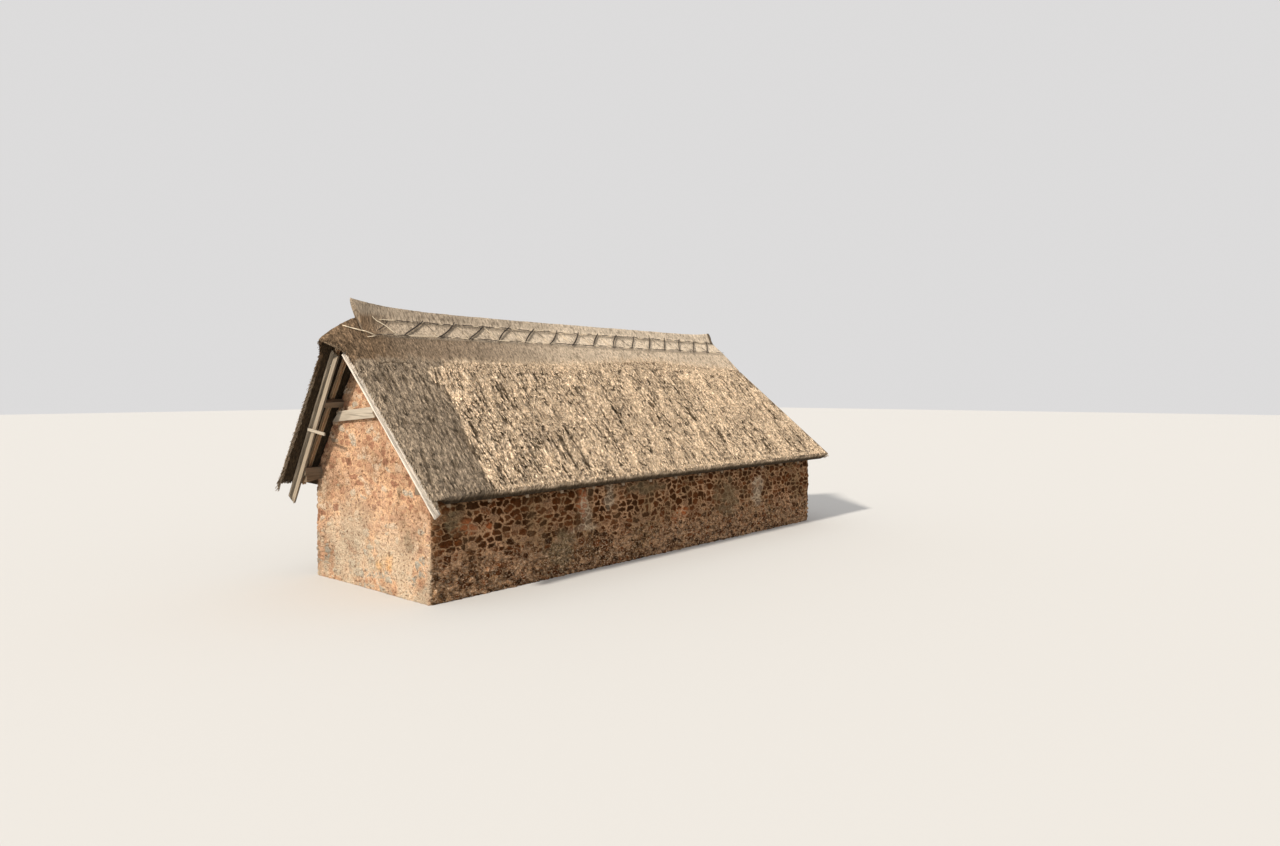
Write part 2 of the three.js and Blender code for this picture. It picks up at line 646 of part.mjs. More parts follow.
// Rafters of the hipped end: two along the hip lines, four between them, and their laths
function hipRafters() {
  const bars = [];
  const halfWidth = HIP_RAFTER_WIDTH / 2;
  for (const y of HIP_RAFTER_Y) {
    const plan = rectangle(hipLineX(y) + HIP_MARGIN, HIP_EAVE_X - 200, y - halfWidth, y + halfWidth);
    bars.push(panel(plan, below(hipRoof, RAFTER_TOP), below(hipRoof, RAFTER_BOTTOM)));
  }
  for (const x of HIP_LATH_X) {
    const plan = rectangle(x, x + LATH_WIDTH, hipLineY(x, -1) + HIP_LATH_INSET,
      hipLineY(x, 1) - HIP_LATH_INSET);
    bars.push(panel(plan, below(hipRoof, THATCH_DEPTH + GAP), below(hipRoof, HIP_LATH_BOTTOM)));
  }
  for (const side of [-1, 1]) {
    const plateTop = Math.max(side < 0 ? frontPlateTop : rearPlateTop, endPlateTop);
    const foot = HIP_TOP_X + (RIDGE_Z - DIAGONAL_BOTTOM - plateTop - GAP) / HIP_PITCH - 10;
    const along = new THREE.Vector2(foot - HIP_TOP_X, hipLineY(foot, side) - RIDGE_Y).normalize();
    const across = new THREE.Vector2(-along.y, along.x).multiplyScalar(halfWidth);
    const head = HIP_TOP_X + DIAGONAL_START;
    const start = new THREE.Vector2(head, hipLineY(head, side));
    const end = new THREE.Vector2(foot, hipLineY(foot, side));
    const corners = [
      start.clone().add(across),
      start.clone().sub(across),
      end.clone().sub(across),
      end.clone().add(across),
    ];
    const line = (x, y) => {
      const run = (x - HIP_TOP_X) * along.x + (y - RIDGE_Y) * along.y;
      return RIDGE_Z - HIP_PITCH * run * along.x;
    };
    const plan = anticlockwise(corners.map((corner) => [corner.x, corner.y]));
    bars.push(panel(plan, below(line, DIAGONAL_TOP), below(line, DIAGONAL_BOTTOM)));
  }
  return joined(bars);
}

// A board or rafter of the overhang, following the verge's lean
function vergeTimber(side, offset, thickness, [y0, y1], topDepth, bottomDepth) {
  const roof = side < 0 ? frontRoof : rearRoof;
  const faceX = side < 0 ? frontBoardX : rearBoardX;
  const plan = anticlockwise([
    [faceX(y0) + offset, y0],
    [faceX(y0) + offset + thickness, y0],
    [faceX(y1) + offset + thickness, y1],
    [faceX(y1) + offset, y1],
  ]);
  return panel(plan, below(roof, topDepth), below(roof, bottomDepth));
}

function principal(side, x) {
  const pitch = side < 0 ? FRONT_PITCH : REAR_PITCH;
  const topDepth = side < 0 ? frontPrincipalTop : rearPrincipalTop;
  const footZ = (side < 0 ? FRONT_WALL_HEIGHT : REAR_WALL_HEIGHT) + GAP;
  const topZ = (y) => RIDGE_Z - topDepth - pitch * Math.abs(y - RIDGE_Y);
  const inner = side * (PLATE_INNER_Y - GAP);
  const footRun = (RIDGE_Z - topDepth - PRINCIPAL_DEPTH - footZ) / pitch;
  const ridge = RIDGE_Y + side * GAP;
  const section = [
    [RIDGE_Y + side * footRun, footZ],
    [inner, footZ],
    [inner, topZ(inner)],
    [ridge, topZ(ridge)],
    [ridge, topZ(ridge) - PRINCIPAL_DEPTH],
  ];
  return alongX(section, x - PRINCIPAL_WIDTH / 2, x + PRINCIPAL_WIDTH / 2);
}

function collar(x) {
  const frontY = (z) => RIDGE_Y - (RIDGE_Z - frontPrincipalTop - PRINCIPAL_DEPTH - z) / FRONT_PITCH + 2 * GAP;
  const rearY = (z) => RIDGE_Y + (RIDGE_Z - rearPrincipalTop - PRINCIPAL_DEPTH - z) / REAR_PITCH - 2 * GAP;
  const top = COLLAR_BOTTOM + COLLAR_HEIGHT;
  const section = [
    [frontY(COLLAR_BOTTOM), COLLAR_BOTTOM],
    [rearY(COLLAR_BOTTOM), COLLAR_BOTTOM],
    [rearY(top), top],
    [frontY(top), top],
  ];
  return alongX(section, x - COLLAR_WIDTH / 2, x + COLLAR_WIDTH / 2);
}

// Finishes
const STONE_RED = { color: 0x8a5343, roughness: 0.95, metalness: 0 };
const STONE_PINK = { color: 0xc08a66, roughness: 0.95, metalness: 0 };
const THATCH_OLD = { color: 0x6f6048, roughness: 1, metalness: 0 };
const THATCH_NEW = { color: 0xb3945f, roughness: 1, metalness: 0 };
const HAZEL = { color: 0x5b4630, roughness: 0.9, metalness: 0 };
const OAK_BROWN = { color: 0x5a4433, roughness: 0.9, metalness: 0 };
const OAK_GREY = { color: 0xa9a096, roughness: 0.9, metalness: 0 };

const roofGroup = new THREE.Group();
roofGroup.position.set(-CENTRE_X, 0, 0);

function add(name, geometry, finish) {
  const mesh = new THREE.Mesh(geometry, new THREE.MeshStandardMaterial(finish));
  mesh.name = name;
  roofGroup.add(mesh);
}

add("gable_wall", gableWall(), STONE_PINK);
add("front_wall", block(innerStart, innerEnd, -HALF_WIDTH, WALL_THICKNESS - HALF_WIDTH, 0,
  FRONT_WALL_HEIGHT), STONE_RED);
add("end_wall", endWall(), STONE_RED);
add("rear_wall_left", rearWallPiece([
  [innerStart, 0],
  [DOOR_START, 0],
  [DOOR_START, DOOR_HEIGHT],
  [lintelStart, DOOR_HEIGHT],
  [lintelStart, REAR_WALL_HEIGHT],
  [innerStart, REAR_WALL_HEIGHT],
]), STONE_RED);
add("rear_wall_right", rearWallPiece([
  [doorEnd, 0],
  [innerEnd, 0],
  [innerEnd, REAR_WALL_HEIGHT],
  [lintelEnd, REAR_WALL_HEIGHT],
  [lintelEnd, DOOR_HEIGHT],
  [doorEnd, DOOR_HEIGHT],
]), STONE_RED);
add("rear_wall_over_door", block(lintelStart + GAP, lintelEnd - GAP, HALF_WIDTH - WALL_THICKNESS,
  HALF_WIDTH, lintelTop, REAR_WALL_HEIGHT), STONE_RED);
add("door_lintel", block(lintelStart + GAP, lintelEnd - GAP, HALF_WIDTH - WALL_THICKNESS, HALF_WIDTH,
  DOOR_HEIGHT + GAP, lintelTop - GAP), OAK_BROWN);

add("front_wall_plate", block(boardBackX(-PLATE_OUTER_Y), endPlateOuterX, -PLATE_OUTER_Y, -PLATE_INNER_Y,
  FRONT_WALL_HEIGHT + GAP, frontPlateTop), OAK_BROWN);
add("rear_wall_plate", block(boardBackX(PLATE_OUTER_Y), endPlateOuterX, PLATE_INNER_Y, PLATE_OUTER_Y,
  REAR_WALL_HEIGHT + GAP, rearPlateTop), OAK_BROWN);
add("end_wall_plate", block(endPlateOuterX - PLATE_OUTER_Y + PLATE_INNER_Y, endPlateOuterX,
  GAP - PLATE_INNER_Y, PLATE_INNER_Y - GAP, END_WALL_HEIGHT + GAP, endPlateTop), OAK_BROWN);
add("ridge_beam", block(...RIDGE_BEAM_X, RIDGE_Y - RIDGE_BEAM_HALF_WIDTH, RIDGE_Y + RIDGE_BEAM_HALF_WIDTH,
  ridgeBeamBottom, ridgeBeamTop), OAK_BROWN);
add("front_purlin", slopeBeam(-1, FRONT_PURLIN_Y, boardBackX(FRONT_PURLIN_Y), PURLIN_END_X), OAK_BROWN);
add("rear_purlin", slopeBeam(1, REAR_PURLIN_Y, boardBackX(REAR_PURLIN_Y), PURLIN_END_X), OAK_BROWN);

TRUSS_X.forEach((x, i) => {
  add(`truss_${i + 1}_front_principal`, principal(-1, x), OAK_BROWN);
  add(`truss_${i + 1}_rear_principal`, principal(1, x), OAK_BROWN);
  add(`truss_${i + 1}_collar`, collar(x), OAK_BROWN);
});

add("front_rafters", slopeRafters(-1), OAK_BROWN);
add("rear_rafters", slopeRafters(1), OAK_BROWN);
add("hip_rafters", hipRafters(), OAK_BROWN);

add("front_verge_board", vergeTimber(-1, 0, BOARD_THICKNESS, FRONT_BOARD_Y, BOARD_TOP, BOARD_BOTTOM),
  OAK_GREY);
add("rear_verge_board", vergeTimber(1, 0, BOARD_THICKNESS, REAR_BOARD_Y, BOARD_TOP, BOARD_BOTTOM), OAK_GREY);
add("front_verge_rafter", vergeTimber(-1, BOARD_THICKNESS + GAP, VERGE_RAFTER_WIDTH, FRONT_VERGE_RAFTER_Y,
  VERGE_RAFTER_TOP, RAFTER_BOTTOM), OAK_BROWN);
add("rear_verge_rafter", vergeTimber(1, BOARD_THICKNESS + GAP, VERGE_RAFTER_WIDTH, REAR_VERGE_RAFTER_Y,
  VERGE_RAFTER_TOP, RAFTER_BOTTOM), OAK_BROWN);
add("rear_wall_rafter", panel(rectangle(...WALL_RAFTER_X, ...WALL_RAFTER_Y), below(rearRoof, VERGE_RAFTER_TOP),
  below(rearRoof, RAFTER_BOTTOM)), OAK_BROWN);

const battenEdge = (z) => (x, y) => z + BATTEN_RISE * (y - BATTEN_Y[0]);
add("gable_collar", alongX(GABLE_COLLAR, -GABLE_COLLAR_THICKNESS, -GAP), OAK_GREY);
add("verge_batten", panel(anticlockwise([
  [rearBoardX(BATTEN_Y[0]) - BATTEN_THICKNESS, BATTEN_Y[0]],
  [rearBoardX(BATTEN_Y[0]) - GAP, BATTEN_Y[0]],
  [rearBoardX(BATTEN_Y[1]) - GAP, BATTEN_Y[1]],
  [rearBoardX(BATTEN_Y[1]) - BATTEN_THICKNESS, BATTEN_Y[1]],
]), battenEdge(BATTEN_Z[1]), battenEdge(BATTEN_Z[0])), OAK_GREY);
add("wall_timber_stub", block(...STUB_X, ...STUB_Y, ...STUB_Z), OAK_BROWN);
add("broken_rafter_foot", panel(rectangle(...BROKEN_FOOT_X, ...BROKEN_FOOT_Y), flat(REAR_WALL_HEIGHT),
  (x) => REAR_WALL_HEIGHT - BROKEN_FOOT_DEPTH + BROKEN_FOOT_TAPER * (x - BROKEN_FOOT_X[0])), OAK_BROWN);

add("thatch_front_slope", longSlope(-1), THATCH_NEW);
add("thatch_rear_slope", longSlope(1), THATCH_OLD);
add("thatch_hip_end", hipEnd(), THATCH_OLD);
add("ridge_cap", ridgeCap(), THATCH_OLD);
add("front_ridge_rods", ridgeRods(-1), HAZEL);
add("rear_ridge_rods", ridgeRods(1), HAZEL);

const barn = new THREE.Group();
barn.add(roofGroup);

export default barn;
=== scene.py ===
"""Looks of a long thatched stone barn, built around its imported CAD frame.

Lengths are metres. X runs along the ridge, -Y is the front and Z is up. Inside the functions "along" is
the distance from the gable wall's outer face, and row_points() moves a finished shape to the row's origin.
"""
import math
from typing import NamedTuple

import bpy
import numpy as np
from bpy.props import FloatProperty, FloatVectorProperty, IntProperty, PointerProperty
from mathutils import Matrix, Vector


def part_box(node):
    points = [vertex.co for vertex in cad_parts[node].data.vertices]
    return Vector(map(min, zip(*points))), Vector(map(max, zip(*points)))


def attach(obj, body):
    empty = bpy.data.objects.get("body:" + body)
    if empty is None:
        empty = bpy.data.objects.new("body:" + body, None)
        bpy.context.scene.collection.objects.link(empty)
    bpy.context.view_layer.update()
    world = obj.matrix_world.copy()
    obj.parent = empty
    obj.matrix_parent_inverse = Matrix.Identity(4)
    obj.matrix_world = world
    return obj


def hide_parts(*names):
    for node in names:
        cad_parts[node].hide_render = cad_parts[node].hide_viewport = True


bl_info = {
    "name": "Thatched stone barn",
    "version": (1, 0, 0),
    "blender": (4, 5, 0),
    "location": "View3D > Sidebar > Barn",
    "description": "Rubble walls, straw thatch, hazel rods and hewn oak for a long barn",
    "category": "Object",
}

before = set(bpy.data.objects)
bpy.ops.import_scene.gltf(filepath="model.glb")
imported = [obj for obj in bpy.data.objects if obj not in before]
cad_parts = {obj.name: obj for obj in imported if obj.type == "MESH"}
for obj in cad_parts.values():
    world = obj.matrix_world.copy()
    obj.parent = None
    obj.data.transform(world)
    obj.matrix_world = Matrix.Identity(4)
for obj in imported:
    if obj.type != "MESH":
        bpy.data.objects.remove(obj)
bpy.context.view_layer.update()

# Walls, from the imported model
GABLE_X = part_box("gable_wall")[0].x
HALF_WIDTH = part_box("gable_wall")[1].y
WALL_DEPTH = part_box("gable_wall")[1].x - GABLE_X
WALL_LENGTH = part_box("end_wall")[1].x - GABLE_X
FRONT_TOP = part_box("front_wall")[1].z
REAR_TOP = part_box("rear_wall_left")[1].z
END_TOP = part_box("end_wall_plate")[0].z
DOOR_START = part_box("rear_wall_left")[1].x - GABLE_X
DOOR_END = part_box("rear_wall_right")[0].x - GABLE_X
LINTEL_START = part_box("door_lintel")[0].x - GABLE_X
LINTEL_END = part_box("door_lintel")[1].x - GABLE_X
DOOR_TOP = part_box("door_lintel")[0].z
LINTEL_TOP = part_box("door_lintel")[1].z
GABLE_TOP_DEPTH = 0.445  # from the straw's face down to the top of the gable
CORNER_RADIUS = 0.07
BEYOND = 0.4  # how far the path of the stone faces runs on past the inner faces at the doorway
END_MARGIN = 0.09  # how far the end walls' inner faces stop short of the long walls' outer ones
END_STEP_Y = 1.8  # past it on either side the end wall is as high as the long wall there
CORNER_BLEND = 0.03  # over this length the red rubble turns into the pink
WORN_BELOW = 0.3  # up to here a wall's foot is fully worn, and then less over the next length
WORN_FADE = 0.9

# Roof planes: the outer face of the thatch, as the part's source has them
RIDGE_Y = 0.25
RIDGE_Z = 5.37
EAVE_Y = 2.445
EAVE_Z = 1.98
HIP_TOP = 11.51
HIP_EAVE = 14.02
FRONT_PITCH = (RIDGE_Z - EAVE_Z) / (RIDGE_Y + EAVE_Y)
REAR_PITCH = (RIDGE_Z - EAVE_Z) / (EAVE_Y - RIDGE_Y)
HIP_PITCH = (RIDGE_Z - EAVE_Z) / (HIP_EAVE - HIP_TOP)
THATCH_DEPTH = 0.33
HIP_FADE = 0.12  # over this length the coat's relief runs out at a hip line
REAR_COARSER = 1.35  # steps between points on the rear slope, against those on the front slope
SLOPE_SEED = 500
HIP_SEED = 540
HIP_SHIFT = 20  # how far across the straw's pattern on the hip is read, to be unlike the slopes'

# Verge and hood at the gable
HOOD_START = -0.1
NOSE = -0.915
HOOD_DROP = 0.45
HOOD_REACH = 0.55
HOOD_THINNING = 0.6
VERGE_ROLL = 0.06
VERGE_ROLL_WIDTH = 0.2
VERGE_DEPTH = 0.11
FULL_DEPTH_AT = 0.15
FRONT_VERGE = -0.175
FRONT_VERGE_LEAN = 0.2
REAR_VERGE = -0.66
BAND_WIDTH = 0.7

# Ridge cap and its rods
CAP_DEPTH = 0.1
CAP_BEDDING = 0.045
CREST_WIDTH = 0.15
RIDGE_TOP = 5.55
CAP_START = -0.1
LEFT_TIP = -0.26
RIGHT_TIP = 11.58
HIP_APRON = 0.67
REAR_APRON = HIP_APRON * HIP_PITCH / REAR_PITCH
UPPER_ROD = 0.14
LOWER_ROD = 0.37
SPAR_COUNT = 15

# The lower rod runs on over the hood through these points
HOOD_ROD = ((0.05, -0.12, 5.0), (-0.12, -0.04, 5.07), (-0.199, 0.0, 5.085), (-0.348, 0.1, 5.13),
            (-0.463, 0.2, 5.175))

# The newer coat of straw starts beyond the verge on this line, and lies in lanes that run up the slope
COAT_EDGE_AWAY = (0.44, 0.505, 0.56, 0.61, 0.84, 1.37, 2.445)
COAT_EDGE_ALONG = (1.44, 1.35, 1.07, 0.90, 1.08, 1.17, 1.10)
COAT = 0.03
LANE_WIDTH = 0.6
FIRST_LANE = 1.5
LANE_GROOVE = 0.014

# The cut edge of the straw at an eave, which faces down: how far down it each row of points lies, how much
# painted shade each row gets there, and how much of the face's gold and tone it keeps; the falling tone is
# painted shade too
LIP_STEPS = np.array([0.3, 0.55, 0.8])
LIP_SHADE = (0.4, 0.85, 1.0)
LIP_GOLDEN = (1.0, 0.9, 0.8)
LIP_TONES = (1.0, 0.8, 0.5)

# Repairs and stains on the long front wall: along, height, half length, half height
RENDER_PATCHES = ((3.35, 0.55, 0.55, 0.45), (5.9, 1.65, 0.9, 0.22), (0.45, 1.45, 0.25, 0.3),
                  (9.4, 1.1, 0.7, 0.5))
LIME_PATCHES = ((4.0, 1.35, 0.2, 0.4), (4.75, 1.5, 0.18, 0.4), (3.9, 0.95, 0.4, 0.1), (10.8, 1.2, 0.3, 0.5))
ORANGE_PATCHES = ((0.75, 1.35, 0.3, 0.16), (1.35, 1.25, 0.2, 0.14), (3.9, 1.5, 0.2, 0.3),
                  (7.3, 0.9, 0.4, 0.2))

# Grey stones and a yellow stain on the gable: place across, height, half width, half height
GREY_PATCHES = ((-1.05, 1.95, 0.12, 0.17), (-1.35, 1.05, 0.2, 0.2), (0.3, 1.35, 0.1, 0.1))
OCHRE_PATCHES = ((-0.75, 0.62, 0.35, 0.16), (-0.3, 0.5, 0.25, 0.14))

# Stage: a low sun on the left, an even sky, and the camera where the photo was taken from
FLOOR_HALF = 150.0
TOWARDS_SUN = (-0.84, -0.04, 0.54)
SUN_ANGLE = math.radians(4)
SUN_COLOUR = (1.0, 0.93, 0.83)
SKY_COLOUR = (0.96, 0.95, 0.95, 1)
CAMERA_PLACE = (GABLE_X - 9.2076, -15.0646, 3.925)
CAMERA_HEADING = (0.75537, 0.65530, 0)
CAMERA_SHIFT = -33 / 1280


# Numbers and noise

def ease(share):
    """Smooth step: 0 up to 0, 1 from 1, and 3t² - 2t³ between."""
    share = np.clip(share, 0, 1)
    return share * share * (3 - 2 * share)


def lattice(i, j, seed):
    """A random number from 0 to 1 for each whole-number place, made by mixing the bits of i, j and
    seed."""
    bits = i.astype(np.int64) * 374761393 + j.astype(np.int64) * 668265263 + seed * 1274126177
    bits = bits & 0xFFFFFFFF
    bits = ((bits ^ (bits >> 13)) * 1103515245) & 0xFFFFFFFF
    bits = ((bits ^ (bits >> 16)) * 668265263) & 0xFFFFFFFF
    return (bits ^ (bits >> 15)) / 0xFFFFFFFF


def reshuffled(number):
    """Another random number from 0 to 1 for each one given."""
    return (number * 9973) % 1


def noise(u, v, seed):
    """Smooth noise from 0 to 1: the four lattice numbers round a point, blended with a smooth step."""
    i, j = np.floor(u), np.floor(v)
    across, up = ease(u - i), ease(v - j)
    low = lattice(i, j, seed) * (1 - across) + lattice(i + 1, j, seed) * across
    high = lattice(i, j + 1, seed) * (1 - across) + lattice(i + 1, j + 1, seed) * across
    return low * (1 - up) + high * up


def layered(u, v, seed, layers=3):
    """Noise from 0 to 1 in layers, each twice as fine and half as strong as the one before."""
    weights = [0.5**k for k in range(layers)]
    total = sum(weight * noise(u * 2**k, v * 2**k, seed + k) for k, weight in enumerate(weights))
    return total / sum(weights)


class Cells(NamedTuple):
    """What cellular noise says of each point."""

    gap: np.ndarray
    tone: np.ndarray
    other: np.ndarray
    beside: np.ndarray
    below: np.ndarray


def cells(u, v, seed, jitter=(0.8, 0.8)):
    """Cellular noise. Each unit square holds one random centre, and a point belongs to its nearest
    centre.

    gap is how much further away the second nearest centre is, tone and other are random numbers that
    belong to the nearest, and beside and below are how far the point lies past it along u and v.
    """
    i0, j0 = np.floor(u), np.floor(v)
    nearest = np.full(u.shape, 9.0)
    second = np.full(u.shape, 9.0)
    tone = np.zeros(u.shape)
    other = np.zeros(u.shape)
    beside = np.zeros(u.shape)
    below = np.zeros(u.shape)
    for i in (i0 - 1, i0, i0 + 1):
        for j in (j0 - 1, j0, j0 + 1):
            du = i + 0.5 + jitter[0] * (lattice(i, j, seed) - 0.5) - u
            dv = j + 0.5 + jitter[1] * (lattice(i, j, seed + 1) - 0.5) - v
            distance = np.hypot(du, dv)
            closer = distance < nearest
            second = np.where(closer, nearest, np.minimum(second, distance))
            tone = np.where(closer, lattice(i, j, seed + 2), tone)
            other = np.where(closer, lattice(i, j, seed + 3), other)
            beside = np.where(closer, -du, beside)
            below = np.where(closer, -dv, below)
            nearest = np.minimum(nearest, distance)
    return Cells(second - nearest, tone, other, beside, below)


# Meshes

def row_points(points):
    """Points of the building moved to the row's frame."""
    return np.asarray(points, float) + (GABLE_X, 0, 0)


def add_piece(name, points, smooth_faces, flat_faces=(), **values):
    """A mesh object. Faces come as arrays with a row for each face, values as numbers or vectors at
    points."""
    faces = [*smooth_faces, *flat_faces]
    corners = np.concatenate([np.ravel(face) for face in faces])
    sizes = np.concatenate([np.full(len(face), face.shape[1]) for face in faces])
    smooth_count = sum(len(face) for face in smooth_faces)
    mesh = bpy.data.meshes.new(name)
    mesh.vertices.add(len(points))
    mesh.vertices.foreach_set("co", row_points(points).astype(np.float32).ravel())
    mesh.loops.add(len(corners))
    mesh.loops.foreach_set("vertex_index", corners.astype(np.int32))
    mesh.polygons.add(len(sizes))
    mesh.polygons.foreach_set("loop_start", (np.cumsum(sizes) - sizes).astype(np.int32))
    mesh.polygons.foreach_set("use_smooth", np.arange(len(sizes)) < smooth_count)
    for label, value in values.items():
        value = np.asarray(value, np.float32)
        if value.ndim == 2:
            mesh.attributes.new(label, "FLOAT_VECTOR", "POINT").data.foreach_set("vector", value.ravel())
        else:
            mesh.attributes.new(label, "FLOAT", "POINT").data.foreach_set("value", value)
    mesh.update(calc_edges=True)
    mesh.validate()
    piece = bpy.data.objects.new(name, mesh)
    bpy.context.scene.collection.objects.link(piece)
    return piece


def finish_piece(piece, material, slot, *nodes):
    """Gives a piece its material, parents it to the root and hides the frame nodes that it stands for. The
    slot is not used.
    """
    piece.data.materials.append(material)
    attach(piece, "root")
    if nodes:
        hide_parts(*nodes)
    return piece


def loft_faces(count, around):
    """Faces of a closed tube of rings that turn anticlockwise about its path: its sides, and its two
    ends."""
    number = np.arange(count * around).reshape(count, around)
    ahead = np.roll(number, -1, axis=1)
    sides = np.stack([number[:-1], ahead[:-1], ahead[1:], number[1:]], axis=-1).reshape(-1, 4)
    return sides, number[:1, ::-1], number[-1:]


def ring_values(*blocks):
    """Points or values round each ring, given for one part of the ring after another."""
    return np.concatenate(blocks, axis=1)


def add_loft(name, rings, **values):
    """A closed tube through rings, an array of count, around and three."""
    count, around = rings.shape[:2]
    sides, first, last = loft_faces(count, around)
    flat = {label: np.reshape(value, (count * around, *value.shape[2:])) for label, value in values.items()}
    return add_piece(name, rings.reshape(-1, 3), [sides], [first, last], **flat)


# Shader nodes

def plug(tree, socket, value):
    """Links a socket to a node's output, or sets it to a plain number or colour."""
    if isinstance(value, bpy.types.NodeSocket):
        tree.links.new(value, socket)
    elif socket.type == "RGBA":
        socket.default_value = (*value[:3], 1)
    else:
        socket.default_value = value


def calculated(tree, operation, first, second=0.0):
    """Output of a Math node."""
    node = tree.nodes.new("ShaderNodeMath")
    node.operation = operation
    plug(tree, node.inputs[0], first)
    plug(tree, node.inputs[1], second)
    return node.outputs[0]


def product(tree, first, *others):
    """Output of a chain of Math nodes that multiplies its values."""
    for other in others:
        first = calculated(tree, "MULTIPLY", first, other)
    return first


def remapped(tree, value, low, high, new_low=0.0, new_high=1.0):
    """Output of a Map Range node, clamped."""
    node = tree.nodes.new("ShaderNodeMapRange")
    for index, number in enumerate((value, low, high, new_low, new_high)):
        plug(tree, node.inputs[index], number)
    return node.outputs[0]


def ranged(tree, share, low, high):
    """Output of a Map Range node that turns 0 to 1 into low to high."""
    return remapped(tree, share, 0, 1, low, high)


def mixed(tree, share, first, second, blend="MIX"):
    """Output of a colour Mix node."""
    node = tree.nodes.new("ShaderNodeMix")
    node.data_type = "RGBA"
    node.blend_type = blend
    plug(tree, node.inputs[0], share)
    plug(tree, node.inputs[6], first)
    plug(tree, node.inputs[7], second)
    return node.outputs[2]


def times(tree, colour, shade):
    """A colour times a shade that may be more than 1."""
    grey = tree.nodes.new("ShaderNodeCombineColor")
    for socket in grey.inputs:
        plug(tree, socket, shade)
    return mixed(tree, 1.0, colour, grey.outputs[0], "MULTIPLY")


def toned(colour, share):
    """A plain colour times a share that may be more than 1."""
    return [share * part for part in colour]


def scaled(tree, vector, scale, rotation=(0, 0, 0)):
    """Output of a Mapping node that turns and stretches a pattern."""
    node = tree.nodes.new("ShaderNodeMapping")
    plug(tree, node.inputs["Vector"], vector)
    node.inputs["Scale"].default_value = scale
    node.inputs["Rotation"].default_value = rotation
    return node.outputs[0]


def noise_texture(tree, vector, size=1.0, detail=3.0, roughness=0.55):
    """Output of a Noise Texture node, from about 0.2 to 0.8. A size of three parts stretches the
    pattern."""
    if np.ndim(size):
        vector, size = scaled(tree, vector, size), 1.0
    node = tree.nodes.new("ShaderNodeTexNoise")
    plug(tree, node.inputs["Vector"], vector)
    for label, value in {"Scale": size, "Detail": detail, "Roughness": roughness}.items():
        node.inputs[label].default_value = value
    return node.outputs["Fac"]


def colour_ramp(tree, value, stops):
    """Output of a Color Ramp node whose stops are (place, colour)."""
    node = tree.nodes.new("ShaderNodeValToRGB")
    plug(tree, node.inputs[0], value)
    elements = node.color_ramp.elements
    while len(elements) < len(stops):
        elements.new(0.5)
    for element, (place, colour) in zip(elements, stops):
        element.position = place
        element.color = (*colour[:3], 1)
    return node.outputs[0]


def attribute(tree, name, output="Fac"):
    """Output of an Attribute node that reads a number or vector kept on the mesh."""
    node = tree.nodes.new("ShaderNodeAttribute")
    node.attribute_name = name
    return node.outputs[output]


def object_place(tree):
    """Object coordinates."""
    return tree.nodes.new("ShaderNodeTexCoord").outputs["Object"]


def used_group(tree, name, **inputs):
    """A shared node group placed in a material, with its inputs set."""
    node = tree.nodes.new("ShaderNodeGroup")
    node.node_tree = bpy.data.node_groups[name]
    for label, value in inputs.items():
        plug(tree, node.inputs[label], value)
    return node.outputs


class Pattern(NamedTuple):
    """A noise pattern: its size, which part of its range becomes 0 to 1, and how fine and rough it is."""

    size: float | tuple
    low: float
    high: float
    detail: float = 3.0
    roughness: float = 0.55


# Shared node groups and their outputs. Straw is drawn out along the second coordinate, from fine straws
# to the bundles that they lie in. Stains are blotches, streaks that rain draws down a face, and grit.
PATTERNS = {
    "straw_streaks": {
        "Fine": Pattern((130, 16, 130), 0.34, 0.66),
        "Strand": Pattern((46, 11, 46), 0.34, 0.66),
        "Bundle": Pattern((19, 4.5, 19), 0.34, 0.66),
        "Speck": Pattern((36, 16, 36), 0.34, 0.66),
        "Pore": Pattern((64, 26, 64), 0.57, 0.66, 2),
    },
    "weather_stains": {
        "Blotch": Pattern(0.9, 0.35, 0.65, 5, 0.6),
        "Streak": Pattern((3.5, 3.5, 0.5), 0.45, 0.7, 4),
        "Grit": Pattern(38, 0.3, 0.7, 4, 0.65),
    },
    "wood_grain": {
        "Grain": Pattern((70, 70, 2.2), 0.3, 0.7, 5),
        "Check": Pattern((26, 26, 0.9), 0.62, 0.7, 2),
        "Silver": Pattern((5, 5, 0.7), 0.35, 0.65),
    },
}


def add_pattern_group(name, patterns):
    """A shared node group that reads a vector and has one noise pattern on each output."""
    tree = bpy.data.node_groups.new(name, "ShaderNodeTree")
    tree.interface.new_socket(name="Vector", in_out="INPUT", socket_type="NodeSocketVector")
    for label in patterns:
        tree.interface.new_socket(name=label, in_out="OUTPUT", socket_type="NodeSocketFloat")
    vector = tree.nodes.new("NodeGroupInput").outputs["Vector"]
    made = tree.nodes.new("NodeGroupOutput").inputs
    for label, pattern in patterns.items():
        texture = noise_texture(tree, vector, pattern.size, pattern.detail, pattern.roughness)
        plug(tree, made[label], remapped(tree, texture, pattern.low, pattern.high))


def new_material(name):
    """A material with only its shader and output. Gives it, its node tree and the shader."""
    material = bpy.data.materials.new(name)
    material.use_nodes = True
    tree = material.node_tree
    shader = tree.nodes["Principled BSDF"]
    return material, tree, shader


def finish_shader(tree, shader, colour, roughness, specular, height, distance):
    """Gives a shader its colour, its gloss, and a bump from a height that is 0 to 1, over a real
    distance."""
    plug(tree, shader.inputs["Base Color"], colour)
    shader.inputs["Roughness"].default_value = roughness
    shader.inputs["Specular IOR Level"].default_value = specular
    bump = tree.nodes.new("ShaderNodeBump")
    plug(tree, bump.inputs["Height"], height)
    bump.inputs["Distance"].default_value = distance
    tree.links.new(bump.outputs[0], shader.inputs["Normal"])


